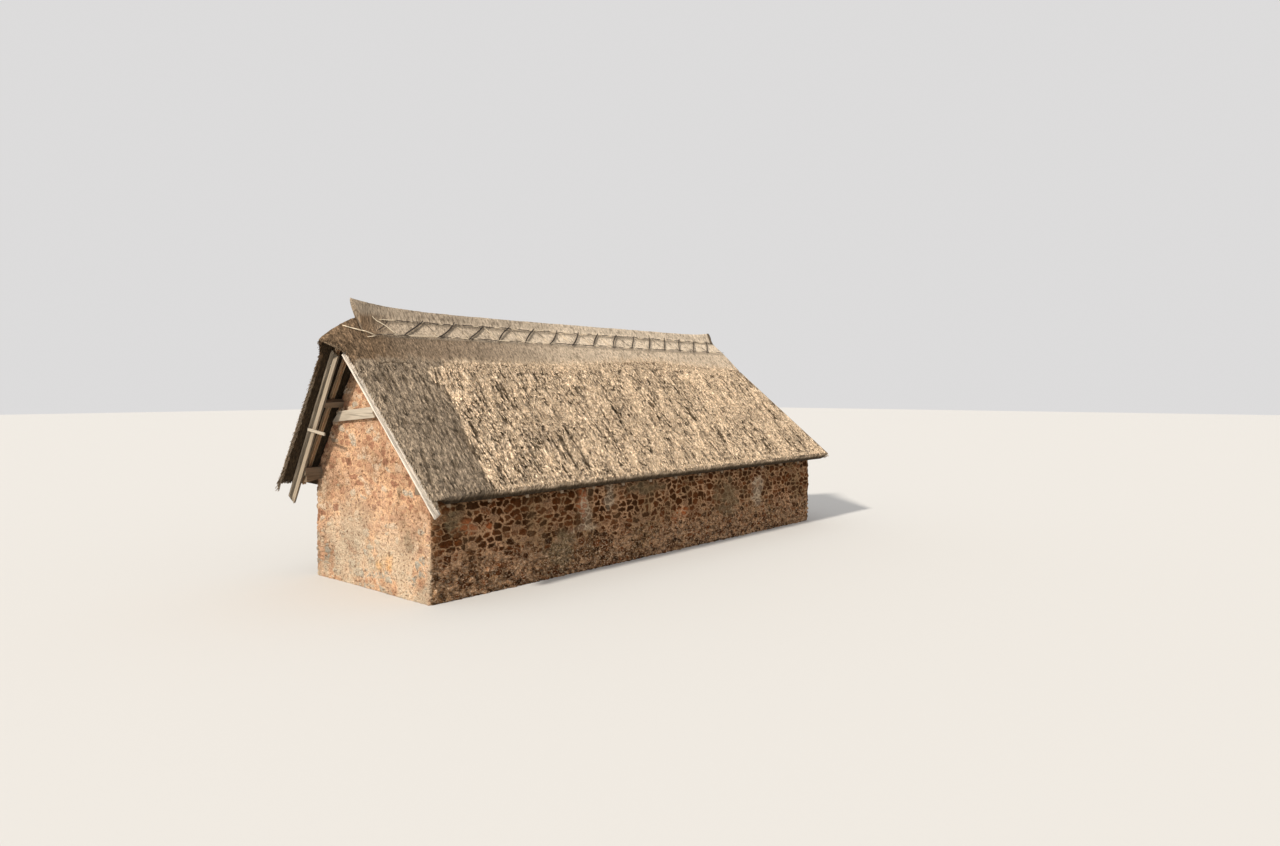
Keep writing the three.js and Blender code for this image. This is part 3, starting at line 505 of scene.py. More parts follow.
def straw_material(thatch):
    """Straw: golden, weathered or band-brown by place, in fine streaks, with painted shade nearly black
    where the coat gapes. The cap's straw is cut short, so it is stippled more than streaked."""
    material, tree, shader = new_material("straw")
    streaks = used_group(tree, "straw_streaks", Vector=attribute(tree, "lie", "Vector"))
    stains = used_group(tree, "weather_stains", Vector=object_place(tree))
    tone, on_band, is_pale = (attribute(tree, label) for label in ("tone", "band", "pale"))
    weathered = mixed(tree, streaks["Fine"], toned(thatch.weathered, 0.46), toned(thatch.weathered, 1.5))
    golden = mixed(tree, streaks["Fine"], thatch.shaded, toned(thatch.golden, 1.35))
    band = mixed(tree, streaks["Speck"], toned(thatch.band, 0.75), toned(thatch.band, 1.5))
    bleached = product(tree, remapped(tree, streaks["Strand"], 0.45, 1, 0, 0.6),
                       remapped(tree, tone, 0.2, 1, 0.2, 1))
    golden = mixed(tree, bleached, golden, toned(thatch.pale, 1.15))
    colour = mixed(tree, attribute(tree, "golden"), weathered, golden)
    colour = mixed(tree, on_band, colour, band)
    colour = mixed(tree, is_pale, colour, thatch.pale)
    # painted shade: crack mixes the colour towards near-black in the coat's gaps, at straw roots, on cut
    # edges and undersides, and beside the rods
    gap = remapped(tree, attribute(tree, "crack"), 0, 0.9, 0, 0.95)
    colour = mixed(tree, gap, colour, toned(thatch.shaded, 0.13))
    streaked = product(tree, ranged(tree, tone, 0.45, 1.5), ranged(tree, streaks["Bundle"], 0.74, 1.2),
                       ranged(tree, streaks["Strand"], 0.54, 1.42),
                       ranged(tree, streaks["Pore"], 1.12, 0.22))
    stippled = product(tree, ranged(tree, streaks["Speck"], 0.72, 1.26), ranged(tree, tone, 0.6, 1.35),
                       ranged(tree, streaks["Pore"], 1.04, 0.68))
    on_cap = calculated(tree, "MINIMUM", 0.75, calculated(tree, "ADD", on_band, is_pale))
    change = product(tree, on_cap, calculated(tree, "SUBTRACT", stippled, streaked))
    shade = calculated(tree, "ADD", streaked, change)
    shade = product(tree, shade, ranged(tree, stains["Blotch"], 0.88, 1.08))
    height = calculated(tree, "ADD", product(tree, streaks["Fine"], 0.5), streaks["Bundle"])
    finish_shader(tree, shader, times(tree, colour, shade), 0.9, 0.1, height, 0.012)
    return material


# Colours of the stones by tone, and of what breaks their faces
RED_STONES = ((0.0, (0.034, 0.0105, 0.0014)), (0.3, (0.056, 0.0165, 0.0024)), (0.6, (0.086, 0.025, 0.005)),
              (0.85, (0.145, 0.046, 0.012)), (1.0, (0.33, 0.195, 0.11)))
PINK_STONES = ((0.0, (0.27, 0.13, 0.08)), (0.12, (0.42, 0.215, 0.128)), (0.4, (0.54, 0.31, 0.187)),
               (0.75, (0.61, 0.39, 0.25)), (0.92, (0.70, 0.54, 0.39)), (1.0, (0.40, 0.36, 0.29)))
RED_PIT = (0.034, 0.0125, 0.003)
PINK_PIT = (0.22, 0.115, 0.065)
PINK_HOLE = (0.16, 0.085, 0.045)
CHIPPED = (0.52, 0.38, 0.255)
BRIGHT_GRIT = (1.55, 1.55, 1.55)
SILVER_BLOOM = (0.58, 0.52, 0.43)


def stone_material(name, stone):
    """Rubble: a colour for each stone, mortar in the joints, patches of render, lime and fresh
    stone, and then pits, rain streaks, holes and chips. Of the attributes, pink chooses between the
    red long walls and the pink gable, worn chips the foot of the red walls and mottles it with painted
    light and shade, and shade paints the eave's shadow on them."""
    material, tree, shader = new_material(name)
    place = object_place(tree)
    stains = used_group(tree, "weather_stains", Vector=place)
    grit, blotch = stains["Grit"], stains["Blotch"]
    pink, joint, lime, worn = (attribute(tree, label) for label in ("pink", "joint", "lime", "worn"))
    inner_face = tree.nodes.new("ShaderNodeTexVoronoi")
    plug(tree, inner_face.inputs["Vector"], scaled(tree, place, (4.2, 4.2, 7.5)))
    parts = tree.nodes.new("ShaderNodeSeparateColor")
    plug(tree, parts.inputs[0], inner_face.outputs["Color"])
    inner_tone = product(tree, attribute(tree, "inside"), parts.outputs[0])
    tone = calculated(tree, "ADD", attribute(tree, "tone"), inner_tone)
    tone = calculated(tree, "ADD", tone, ranged(tree, grit, -0.15, 0.15))
    colour = mixed(tree, pink, colour_ramp(tree, tone, RED_STONES), colour_ramp(tree, tone, PINK_STONES))
    fresh = mixed(tree, pink, stone.orange, stone.ochre)
    colour = mixed(tree, attribute(tree, "orange"), colour, fresh)
    wash = mixed(tree, grit, toned(stone.lime, 0.8), toned(stone.lime, 1.12))
    colour = mixed(tree, product(tree, lime, pink), colour, wash)
    mortar = mixed(tree, blotch, stone.olive_mortar, stone.front_mortar)
    damp = remapped(tree, blotch, 0.2, 0.6)
    gable_mortar = mixed(tree, damp, toned(stone.gable_mortar, 0.5), stone.gable_mortar)
    mortar = mixed(tree, pink, mortar, gable_mortar)
    mortar = mixed(tree, grit, mortar, mixed(tree, 1.0, mortar, BRIGHT_GRIT, "MULTIPLY"))
    colour = mixed(tree, joint, colour, mortar)
    plaster = mixed(tree, grit, toned(stone.render, 0.7), toned(stone.render, 1.3))
    colour = mixed(tree, attribute(tree, "render"), colour, plaster)
    colour = mixed(tree, lime, colour, wash)
    pores = noise_texture(tree, place, 17, 5, 0.7)
    pits = remapped(tree, pores, 0.54, 0.64, 0, 0.7)
    colour = mixed(tree, pits, colour, mixed(tree, pink, RED_PIT, PINK_PIT))
    streak = product(tree, ranged(tree, stains["Streak"], 0, 0.4), ranged(tree, pink, 1, 0.35))
    colour = mixed(tree, streak, colour, toned(stone.olive_mortar, 0.8))
    holes = remapped(tree, noise_texture(tree, place, (13, 13, 17), 4, 0.6), 0.57, 0.63, 0, 0.8)
    colour = mixed(tree, product(tree, holes, pink), colour, PINK_HOLE)
    chips = remapped(tree, noise_texture(tree, place, 26, 2, 0.5), 0.55, 0.62, 0, 0.75)
    colour = mixed(tree, product(tree, chips, worn), colour, CHIPPED)
    flecks = remapped(tree, noise_texture(tree, place, 46, 3, 0.7), 0.34, 0.66, 0.6, 1.36)
    # painted light and shade: clumps make the worn foot lighter and darker, partly its own mottling, partly
    # sun and shade on stones that stand out
    clumps = remapped(tree, noise_texture(tree, place, 12, 2, 0.5), 0.38, 0.62, -0.45, 0.6)
    mottle_and_painted_light = calculated(tree, "ADD", product(tree, worn, clumps), 1.0)
    broad = calculated(tree, "ADD", product(tree, pink, ranged(tree, blotch, -0.2, 0.02)), 1.0)
    # painted shade: the shade attribute darkens the red walls below the eave, standing for the eave's
    # shadow
    flecks = product(tree, flecks, ranged(tree, attribute(tree, "shade"), 1, 0.4), mottle_and_painted_light, broad)
    height = calculated(tree, "ADD", grit, product(tree, pores, -1.5))
    finish_shader(tree, shader, times(tree, colour, flecks), 0.95, 0.06, height, 0.012)
    return material


def wood_material(name, colour, rotation, silver):
    """Oak with grain, checks and a silvery bloom. A rotation turns Object coordinates along the
    timber; without one the grain follows the piece's own attribute."""
    material, tree, shader = new_material(name)
    if rotation is None:
        vector = attribute(tree, "grain", "Vector")
    else:
        vector = scaled(tree, object_place(tree), (1, 1, 1), rotation)
    grain = used_group(tree, "wood_grain", Vector=vector)
    base = mixed(tree, grain["Grain"], toned(colour, 0.62), toned(colour, 1.25))
    pale = [0.5 * part + 0.5 * bloom for part, bloom in zip(colour, SILVER_BLOOM)]
    base = mixed(tree, ranged(tree, grain["Silver"], 0, silver), base, pale)
    base = mixed(tree, ranged(tree, grain["Check"], 0, 0.75), base, toned(colour, 0.25))
    height = calculated(tree, "SUBTRACT", grain["Grain"], grain["Check"])
    finish_shader(tree, shader, base, 0.8, 0.3, height, 0.004)
    return material


def hazel_material(colour, pale):
    """Hazel: brown bark, pale where the stick is split or worn."""
    material, tree, shader = new_material("split_hazel")
    grain = used_group(tree, "wood_grain", Vector=attribute(tree, "grain", "Vector"))
    base = mixed(tree, grain["Grain"], toned(colour, 0.7), toned(colour, 1.3))
    base = mixed(tree, attribute(tree, "worn"), base, pale)
    finish_shader(tree, shader, base, 0.75, 0.5, grain["Grain"], 0.003)
    return material


# Stone walls

WALL_CORNERS = np.array([
    (DOOR_START, HALF_WIDTH - WALL_DEPTH - BEYOND),
    (DOOR_START, HALF_WIDTH),
    (0, HALF_WIDTH),
    (0, -HALF_WIDTH),
    (WALL_LENGTH, -HALF_WIDTH),
    (WALL_LENGTH, HALF_WIDTH),
    (DOOR_END, HALF_WIDTH),
    (DOOR_END, HALF_WIDTH - WALL_DEPTH - BEYOND),
])
REAR_CORNER = BEYOND + WALL_DEPTH + DOOR_START
FRONT_CORNER = REAR_CORNER + 2 * HALF_WIDTH
FAR_CORNER = FRONT_CORNER + WALL_LENGTH
FAR_REAR_CORNER = FAR_CORNER + 2 * HALF_WIDTH
PATH_END = FAR_REAR_CORNER + WALL_LENGTH - DOOR_END + WALL_DEPTH + BEYOND


def wall_path(distance, corners):
    """Where a wall's outer face runs: the mean of the sharp-cornered line over a short window, which
    rounds its corners. Gives the places and the outward directions."""
    lengths = np.hypot(*np.diff(corners, axis=0).T)
    at = np.concatenate([[0], np.cumsum(lengths)])

    def sharp(where):
        return np.stack([np.interp(where, at, corners[:, axis]) for axis in (0, 1)], axis=-1)

    window = np.linspace(-CORNER_RADIUS, CORNER_RADIUS, 9)
    place = np.mean([sharp(distance + shift) for shift in window], axis=0)
    heading = sharp(distance + CORNER_RADIUS) - sharp(distance - CORNER_RADIUS)
    heading /= np.linalg.norm(heading, axis=-1, keepdims=True)
    return place, np.stack([heading[:, 1], -heading[:, 0]], axis=-1)


def gable_top(x, y):
    """The gable follows the underside of the roof on both slopes."""
    return roof_height(y) - GABLE_TOP_DEPTH


def level_top(height):
    """A level wall top."""
    return lambda x, y: np.full_like(x, height)


def end_top(x, y):
    """The end wall is level between the heights of the front and the rear wall."""
    return np.where(y < -END_STEP_Y, FRONT_TOP, np.where(y > END_STEP_Y, REAR_TOP, END_TOP))


def rear_top(x, y):
    """The rear wall is level, and cut down to the doorway's height where the lintel rests."""
    return np.where((x > LINTEL_START) & (x < LINTEL_END), DOOR_TOP, REAR_TOP)


def low_down(height):
    """1 at a wall's foot, where the weather has worn it and painted light picks out its stones, and 0
    higher up.
    """
    return 1 - ease((height - WORN_BELOW) / WORN_FADE)


def patches(along, height, places, seed):
    """1 inside rough-edged ovals, given as along, height, half length and half height, and 0 away
    from them."""
    ragged = 1.5 * (layered(along / 0.22, height / 0.16, seed, 4) - 0.5)
    mask = np.zeros(np.broadcast(along, height).shape)
    for centre, level, half_length, half_height in places:
        distance = np.hypot((along - centre) / half_length, (height - level) / half_height)
        mask = np.maximum(mask, ease((1.1 - distance + ragged) / 0.7))
    return mask


class Rubble(NamedTuple):
    """How a wall's stones are laid: their size, how much flatter they get low down, and the relief."""

    length: float
    height: float
    flatter: float
    joint: float
    dome: float
    mortar_high: float
    mortar_low: float
    broken: float
    joint_lost: float
    seed: int


def rubble(distance, height, look):
    """Relief, stone tone and joint of a rubble face. Stones are cells on a wavering grid whose rows
    close up towards the ground. Some cells, and most of those low down, are filled with cells half
    as wide: the small stones between the big ones. Each stone domes and leans its own way. The
    joints stand proud high up and are worn away low down."""
    low = low_down(height)
    u = distance / look.length + 1.2 * (layered(distance / 0.6, height / 0.5, look.seed) - 0.5)
    v = height / look.height + look.flatter * (1 - np.exp(-height / 0.45))
    v = v + 1.3 * (layered(distance / 0.7, height / 0.5, look.seed + 5) - 0.5)
    u = u + 0.35 * (layered(distance / 0.07, height / 0.06, look.seed + 40, 2) - 0.5)
    v = v + 0.35 * (layered(distance / 0.08, height / 0.05, look.seed + 44, 2) - 0.5)
    big = cells(u, v, look.seed + 10, (0.95, 0.6))
    small = cells(1.9 * u, 1.6 * v, look.seed + 60, (0.9, 0.8))
    broken = big.other < look.broken + 0.45 * low
    gap = np.where(broken, np.minimum(big.gap, 0.6 * small.gap), big.gap)
    tone = np.where(broken, 0.35 * big.tone + 0.65 * small.tone, big.tone)
    lean = np.where(broken, small.beside * (small.other - 0.7), big.beside * (big.tone - 0.7))
    tip = np.where(broken, small.below * (small.tone - 0.4), big.below * (reshuffled(big.other) - 0.4))
    width = look.joint * (0.35 + 1.3 * layered(distance / 0.25, height / 0.2, look.seed + 48, 2))
    joint = 1 - ease((gap - 0.35 * width) / (0.8 * width))
    mortar = look.mortar_high * (1 - low) + look.mortar_low * low
    fine = 0.008 * (layered(distance / 0.035, height / 0.03, look.seed + 20, 2) - 0.5)
    bulge = 0.05 * (layered(distance / 1.3, height / 1.1, look.seed + 30) - 0.5)
    dome = look.dome * (ease(gap / 0.5) * (0.2 + 1.6 * tone) + 1.2 * (lean + tip) * (0.5 + 1.6 * low))
    relief = mortar * joint + dome * (1 - joint) + fine + bulge
    # low down the stones are paler: partly worn stone, partly painted light on sunlit stone corners
    return relief, tone * (1 + 0.6 * low), joint * (1 - look.joint_lost * low)


def gable_rubble(distance, height, pink, red):
    """Relief, tone and joint of the gable, and where it is pink: between its corners. Past them it
    returns in the red rubble of the long walls."""
    from_rear = (distance - REAR_CORNER) / CORNER_BLEND
    from_front = (FRONT_CORNER - distance) / CORNER_BLEND
    on_gable = np.broadcast_to(ease(from_rear + 0.5) * ease(from_front + 0.5), height.shape)
    faces = zip(rubble(distance, height, pink), rubble(distance, height, red))
    return [first * on_gable + second * (1 - on_gable) for first, second in faces], on_gable


def add_wall(name, span, inner, top, look, step, bottom=0.0, corners=WALL_CORNERS, extra=(), marks=None,
             gable_look=None):
    """A closed wall: a rubble face carried along the outer path, closed by a plain inner face. span
    is where it starts and ends on that path, inner holds the two ends of the inner face, and extra
    adds places along."""
    start, end = span
    distance = np.linspace(start, end, int(round((end - start) / step)) + 1)
    distance = np.sort(np.concatenate([distance, extra]))
    place, outward = wall_path(distance, corners)
    share = ((distance - start) / (end - start))[:, None]
    inner_place = np.array(inner[0]) * (1 - share) + np.array(inner[1]) * share
    outer_top = top(place[:, 0], place[:, 1])[:, None]
    inner_top = top(inner_place[:, 0], inner_place[:, 1])[:, None]
    down = np.linspace(1, 0, int(round((outer_top.max() - bottom) / step)) + 1)
    up = np.linspace(0, 1, 5)
    height = bottom + (outer_top - bottom) * down
    along = distance[:, None] + 0 * height
    if gable_look:
        (relief, tone, joint), pink = gable_rubble(along, height, gable_look, look)
    else:
        relief, tone, joint = rubble(along, height, look)
        pink = 0 * height
    face = place[:, None, :] + outward[:, None, :] * relief[..., None]
    inner_height = bottom + (inner_top - bottom) * up
    back = np.repeat(inner_place[:, None, :], len(up), axis=1)
    rings = ring_values(
        np.concatenate([face, height[..., None]], axis=-1),
        np.concatenate([back, inner_height[..., None]], axis=-1),
    )
    # painted shadow of the eave: the top of a red wall is darkened
    painted_eave_shadow = ease((height - outer_top + 0.38) / 0.34)
    values = {"tone": tone, "joint": joint, "pink": pink, "shade": 0.6 * painted_eave_shadow * (1 - pink),
              "worn": (1 - pink) * low_down(height)}
    values.update({label: 0 * tone for label in ("inside", "render", "lime", "orange")})
    if marks:
        values.update(marks(place[:, None, 0] + 0 * height, place[:, None, 1] + 0 * height, height, joint))
    blank = np.zeros(inner_height.shape)
    return add_loft(name, rings, **{
        label: ring_values(value, blank + (label == "inside")) for label, value in values.items()
    })


def both_sides(distance):
    """Places just before and after a step in a wall's top."""
    return distance - 0.001, distance + 0.001


def front_marks(x, y, height, joint):
    """Patches of old render, lime streaks and fresh orange stone on the long front wall."""
    return {
        "render": patches(x, height, RENDER_PATCHES, 310) * (0.55 + 0.3 * joint),
        "lime": patches(x, height, LIME_PATCHES, 320) * (0.35 + 0.65 * joint) * 0.8,
        "orange": patches(x, height, ORANGE_PATCHES, 330) * (1 - joint) * 0.8,
    }


def gable_marks(x, y, height, joint):
    """Lime wash that has worn away upwards, thickest low on the gable and by its rear corner, grey
    stones and a yellow stain. Round the front corner the marks of the front wall carry on."""
    worn = layered(y / 0.35, height / 0.5, 340, 4)
    wash = ease((2.1 + 0.25 * y - height) / 1.5) * ease((worn - 0.3) / 0.35)
    returned = ease((x - CORNER_BLEND) / CORNER_BLEND)
    marks = {
        "lime": 0.85 * wash * (0.75 + 0.25 * joint),
        "render": 0.6 * patches(y, height, GREY_PATCHES, 350),
        "orange": 0.6 * patches(y, height, OCHRE_PATCHES, 360),
    }
    carried = front_marks(x, y, height, joint)
    at_front = returned * (y < 0)
    return {label: mark * (1 - returned) + carried[label] * at_front for label, mark in marks.items()}


# Straw thatch

def slope_pitch(side):
    """How steep the front slope, side -1, or the rear slope, side 1, is: its fall for each metre in
    plan."""
    return FRONT_PITCH if side < 0 else REAR_PITCH


def pitch_at(y):
    """Pitch of the long slope that a place lies on."""
    return np.where(y < RIDGE_Y, FRONT_PITCH, REAR_PITCH)


def roof_height(y):
    """Outer face of the two long slopes: straight down from the ridge on each side."""
    return RIDGE_Z - pitch_at(y) * np.abs(y - RIDGE_Y)


def hip_height(x):
    """Outer face of the hipped end."""
    return RIDGE_Z - HIP_PITCH * (x - HIP_TOP)


def hip_line(y):
    """The along at which a long slope meets the hipped end."""
    return HIP_TOP + np.abs(y - RIDGE_Y) * pitch_at(y) / HIP_PITCH


def hip_line_y(x, side):
    """The y of the front or rear hip line."""
    return RIDGE_Y + side * (x - HIP_TOP) * HIP_PITCH / slope_pitch(side)


def near_ridge(y):
    """1 at the ridge, falling evenly to 0 where the hood ends on each slope."""
    return np.clip(1 - np.abs(y - RIDGE_Y) / HOOD_REACH, 0, 1)


def verge_line(y, side):
    """Edge of the thatch over the gable: nearly straight, and swept out to the nose of the hood at
    the ridge."""
    start, lean = (FRONT_VERGE, FRONT_VERGE_LEAN) if side < 0 else (REAR_VERGE, 0)
    plain = start - lean * (y + EAVE_Y)
    at_ridge = start - lean * (RIDGE_Y + EAVE_Y)
    return plain + (NOSE - at_ridge) * near_ridge(y) ** 2


def hood_drop(x, y):
    """How far the hood has come down from the straight ridge: more towards the nose, less down the
    slope."""
    outwards = np.clip((HOOD_START - x) / (HOOD_START - NOSE), 0, None)
    return HOOD_DROP * outwards**1.3 * near_ridge(y) ** 1.2


def inward_share(x, y, side):
    """0 at the verge and 1 where the coat has its full depth."""
    edge = verge_line(y, side)
    return np.clip((x - edge) / (FULL_DEPTH_AT - edge), 0, 1)


def hood_share(x, y, side):
    """Share of its depth that the coat keeps as it runs out in the hood."""
    return 1 - HOOD_THINNING * near_ridge(y) * (1 - inward_share(x, y, side))


def slope_top(x, y, side):
    """Height of a long slope's face, with the hood's drop and the rolled verge."""
    roll = VERGE_ROLL * np.clip(1 - (x - verge_line(y, side)) / VERGE_ROLL_WIDTH, 0, 1) ** 2
    return roof_height(y) - hood_drop(x, y) - roll * hood_share(x, y, side)


def slope_depth(x, y, side):
    """Depth of a long slope straight down: slim at the verge and the hood, full over the walls."""
    depth = VERGE_DEPTH + (THATCH_DEPTH - VERGE_DEPTH) * inward_share(x, y, side)
    return depth * hood_share(x, y, side)


def golden_share(x, y):
    """1 where the newer golden coat lies and 0 on the older thatch beside the verge, with a ragged
    edge."""
    line = np.interp(np.abs(y), COAT_EDGE_AWAY, COAT_EDGE_ALONG)
    ragged = 0.26 * (layered(x / 0.09, y / 0.2, 400) - 0.5)
    return ease((x - line + ragged) / 0.06)


def lane_joint(x, y):
    """Distance to the nearest joint between two lanes, as a share of a lane. The joints waver as
    they rise."""
    waver = 0.16 * (noise(x / 1.1, y / 0.7, 410) - 0.5)
    lane = (x - FIRST_LANE) / LANE_WIDTH + waver
    return np.abs(lane - np.round(lane))


def border_crack(x, y):
    """Painted shade in the gaps where the newer coat ends on the older one, and in short lengths where its
    lanes meet.
    """
    line = np.interp(np.abs(y), COAT_EDGE_AWAY, COAT_EDGE_ALONG)
    broken = ease((layered(x / 0.08, y / 0.16, 420) - 0.45) / 0.15)
    border = broken * np.exp(-(((x - line + 0.02) / 0.07) ** 2))
    lengths = ease((layered(x / 0.5, y / 0.22, 425) - 0.46) / 0.1)
    lanes = lengths * golden_share(x, y) * np.exp(-((lane_joint(x, y) / 0.055) ** 2))
    return np.maximum(border, 0.95 * lanes)


def coat_height(x, y, golden):
    """How far the newer coat stands above the old straw: full at the crown of a lane and less at its
    joints."""
    return golden * (COAT - LANE_GROOVE * (1 - 2 * lane_joint(x, y)))


def straw_relief(across, down, golden, thatch, seed):
    """Relief, gaps and tone of a straw coat. Bundles are narrow cells drawn out down the slope, each
    with its lower end standing proud; between some of them the coat gapes, and long cracks run down
    it. The straw material paints shade into these gaps. Weathered straw has finer cells than golden straw."""
    bend = 0.9 * (noise(across / 0.3, down / 0.35, seed) - 0.5)
    waver = 0.7 * (noise(across / 0.09, down / 0.11, seed + 20) - 0.5)
    u = across / thatch.bundle_width + bend + waver
    v = down / thatch.bundle_length + waver
    bundle = cells(u, v, seed + 1, (0.95, 0.95))
    thin = cells(across / 0.034 + bend, down / 0.085, seed + 30, (0.9, 0.9))
    open_share = ease((layered(across / 0.2, down / 0.5, seed + 5, 2) - 0.24) / 0.3)
    crack = (1 - ease(bundle.gap / 0.4)) * open_share
    long_crack = ease((layered(across / 0.045, down / 0.26, seed + 40, 2) - 0.6) / 0.08)
    crack = np.maximum(crack, 0.85 * long_crack * (0.4 + 0.6 * open_share))
    small = layered(across / 0.02, down / 0.06, seed + 8, 2) - 0.5
    coarse = 0.5 * (bundle.tone - 0.5) + 0.7 * bundle.below - 0.7 * crack + 0.5 * small
    fine = 0.6 * (thin.tone - 0.5) + 0.6 * thin.below + 0.5 * small - 0.5 * long_crack
    swell = 0.03 * (layered(across / 0.9, down / 0.8, seed + 11) - 0.5)
    relief = thatch.golden_relief * golden * coarse + thatch.weathered_relief * (1 - golden) * fine
    shaded = 0.3 * layered(across / 0.22, down / 0.7, seed + 50) + 0.12
    tone = golden * (0.6 * bundle.tone + shaded) + (1 - golden) * thin.tone
    return relief + swell, crack * golden + 0.6 * long_crack * (1 - golden), tone


def eave_cut(x, side):
    """How much shorter the straw is cut at a long eave: in a dip by the gable, and under the newer
    coat."""
    dip = 0.09 * np.exp(-(((x - 1.0) / 0.65) ** 2))
    return dip + (0.06 * ease((x - 1.4) / 0.8) if side < 0 else 0)


def slope_apron(x, side):
    """How far the ridge cap reaches down a long slope, in plan."""
    return front_apron(x) if side < 0 else REAR_APRON + 0 * x


def slope_down(y, side):
    """Distance down a long slope from the ridge."""
    return np.abs(y - RIDGE_Y) * math.hypot(1, slope_pitch(side))


def directions(heading, pitch, count=1):
    """Downhill and outward directions of a slope that falls towards a heading, as many times as asked."""
    size = math.hypot(1, pitch)
    downhill = np.array([*heading, -pitch]) / size
    outward = np.array([heading[0] * pitch, heading[1] * pitch, 1]) / size
    return np.tile(downhill, (count, 1)), np.tile(outward, (count, 1))


def slope_directions(side, count=1):
    """Downhill and outward directions of a long slope."""
    return directions((0, side), slope_pitch(side), count)


def hip_directions(count=1):
    """Downhill and outward directions of the hipped end."""
    return directions((1, 0), HIP_PITCH, count)


def square_cut(pitch):
    """How much less far than its face a coat's underside reaches, cut square at the eave."""
    return THATCH_DEPTH * pitch / (1 + pitch * pitch)


def close_coat(top, under, downhill, bulge):
    """Rings of a coat: its face, its cut edge with a bulge in it, and its underside."""
    first, last = top[:, -1:, :], under[:, :1, :]
    lip = first + (last - first) * LIP_STEPS[None, :, None]
    lip = lip + downhill * (bulge * np.sin(math.pi * LIP_STEPS))[None, :, None]
    return ring_values(top, lip, under)


def add_long_slope(name, side, thatch):
    """A long slope: a closed section from the ridge down to the eave and back underneath, carried
    along from the verge to the hip line. Its straw is trimmed unevenly at the eave."""
    pitch = slope_pitch(side)
    downhill, normal = slope_directions(side)
    run = abs(side * EAVE_Y - RIDGE_Y)
    coarser = 1 if side < 0 else REAR_COARSER
    rows = int(round(run * math.hypot(1, pitch) / (coarser * thatch.row_step)))
    columns = int(HIP_EAVE / (coarser * thatch.column_step))
    along = np.concatenate([np.linspace(0, 0.012, 7)[:-1], np.linspace(0.012, 1, columns)])[:, None]

    def spread(y_row):
        edge = verge_line(y_row, side)
        x_row = edge + (hip_line(y_row) - edge) * along
        return x_row, y_row + 0 * x_row

    x, y = spread(RIDGE_Y + side * run * np.linspace(0, 1, rows + 1))
    golden = golden_share(x, y)
    relief, crack, tone = straw_relief(x, slope_down(y, side), golden, thatch, SLOPE_SEED + side)
    crack = np.maximum(crack, 0.8 * border_crack(x, y))
    fade = ease((hip_line(y) - x) / HIP_FADE)
    clear_of_cap = ease((np.abs(y - RIDGE_Y) - slope_apron(x, side)) / 0.03)
    height = slope_top(x, y, side) + coat_height(x, y, golden) * clear_of_cap
    waves = 0.05 * (layered(x / 0.14, 0 * x + side, 550) - 0.5)
    tufts = 0.03 * (layered(x / 0.045, 0 * x, 555, 2) - 0.5)
    trim = (waves + tufts - eave_cut(x, side)) * ease((np.abs(y) - EAVE_Y + 0.3) / 0.3)
    top = np.stack([x, y, height], axis=-1) + normal * (relief * fade)[..., None]
    top = top + downhill * (trim * fade)[..., None]

    x_low, y_low = spread(np.linspace(side * (EAVE_Y - square_cut(pitch)), RIDGE_Y, 6))
    z_low = roof_height(y_low) - hood_drop(x_low, y_low) - slope_depth(x_low, y_low, side)
    rings = close_coat(top, np.stack([x_low, y_low, z_low], axis=-1), downhill, 0.012)

    lip = np.zeros((len(rings), len(LIP_STEPS)))
    under = 0 * x_low
    band = ease((BAND_WIDTH - np.abs(y - RIDGE_Y)) / 0.05)
    down = np.abs(rings[..., 1]) * math.hypot(1, pitch)
    values = {
        # painted shade: the cut edge darkens down its rows, and the underside is nearly black
        "golden": ring_values(golden, golden[:, -1:] * LIP_GOLDEN, under + 0.1),
        "band": ring_values(band, lip, under),
        "crack": ring_values(crack, lip + LIP_SHADE, under + 0.9),
        "tone": ring_values(tone, tone[:, -1:] * LIP_TONES, under + 0.3),
        "pale": np.zeros(rings.shape[:2]),
        "lie": np.stack([rings[..., 0], down, 0 * down], axis=-1),
    }
    if side > 0:
        rings = rings[:, ::-1]
        values = {label: value[:, ::-1] for label, value in values.items()}
    return add_loft(name, rings, **values)


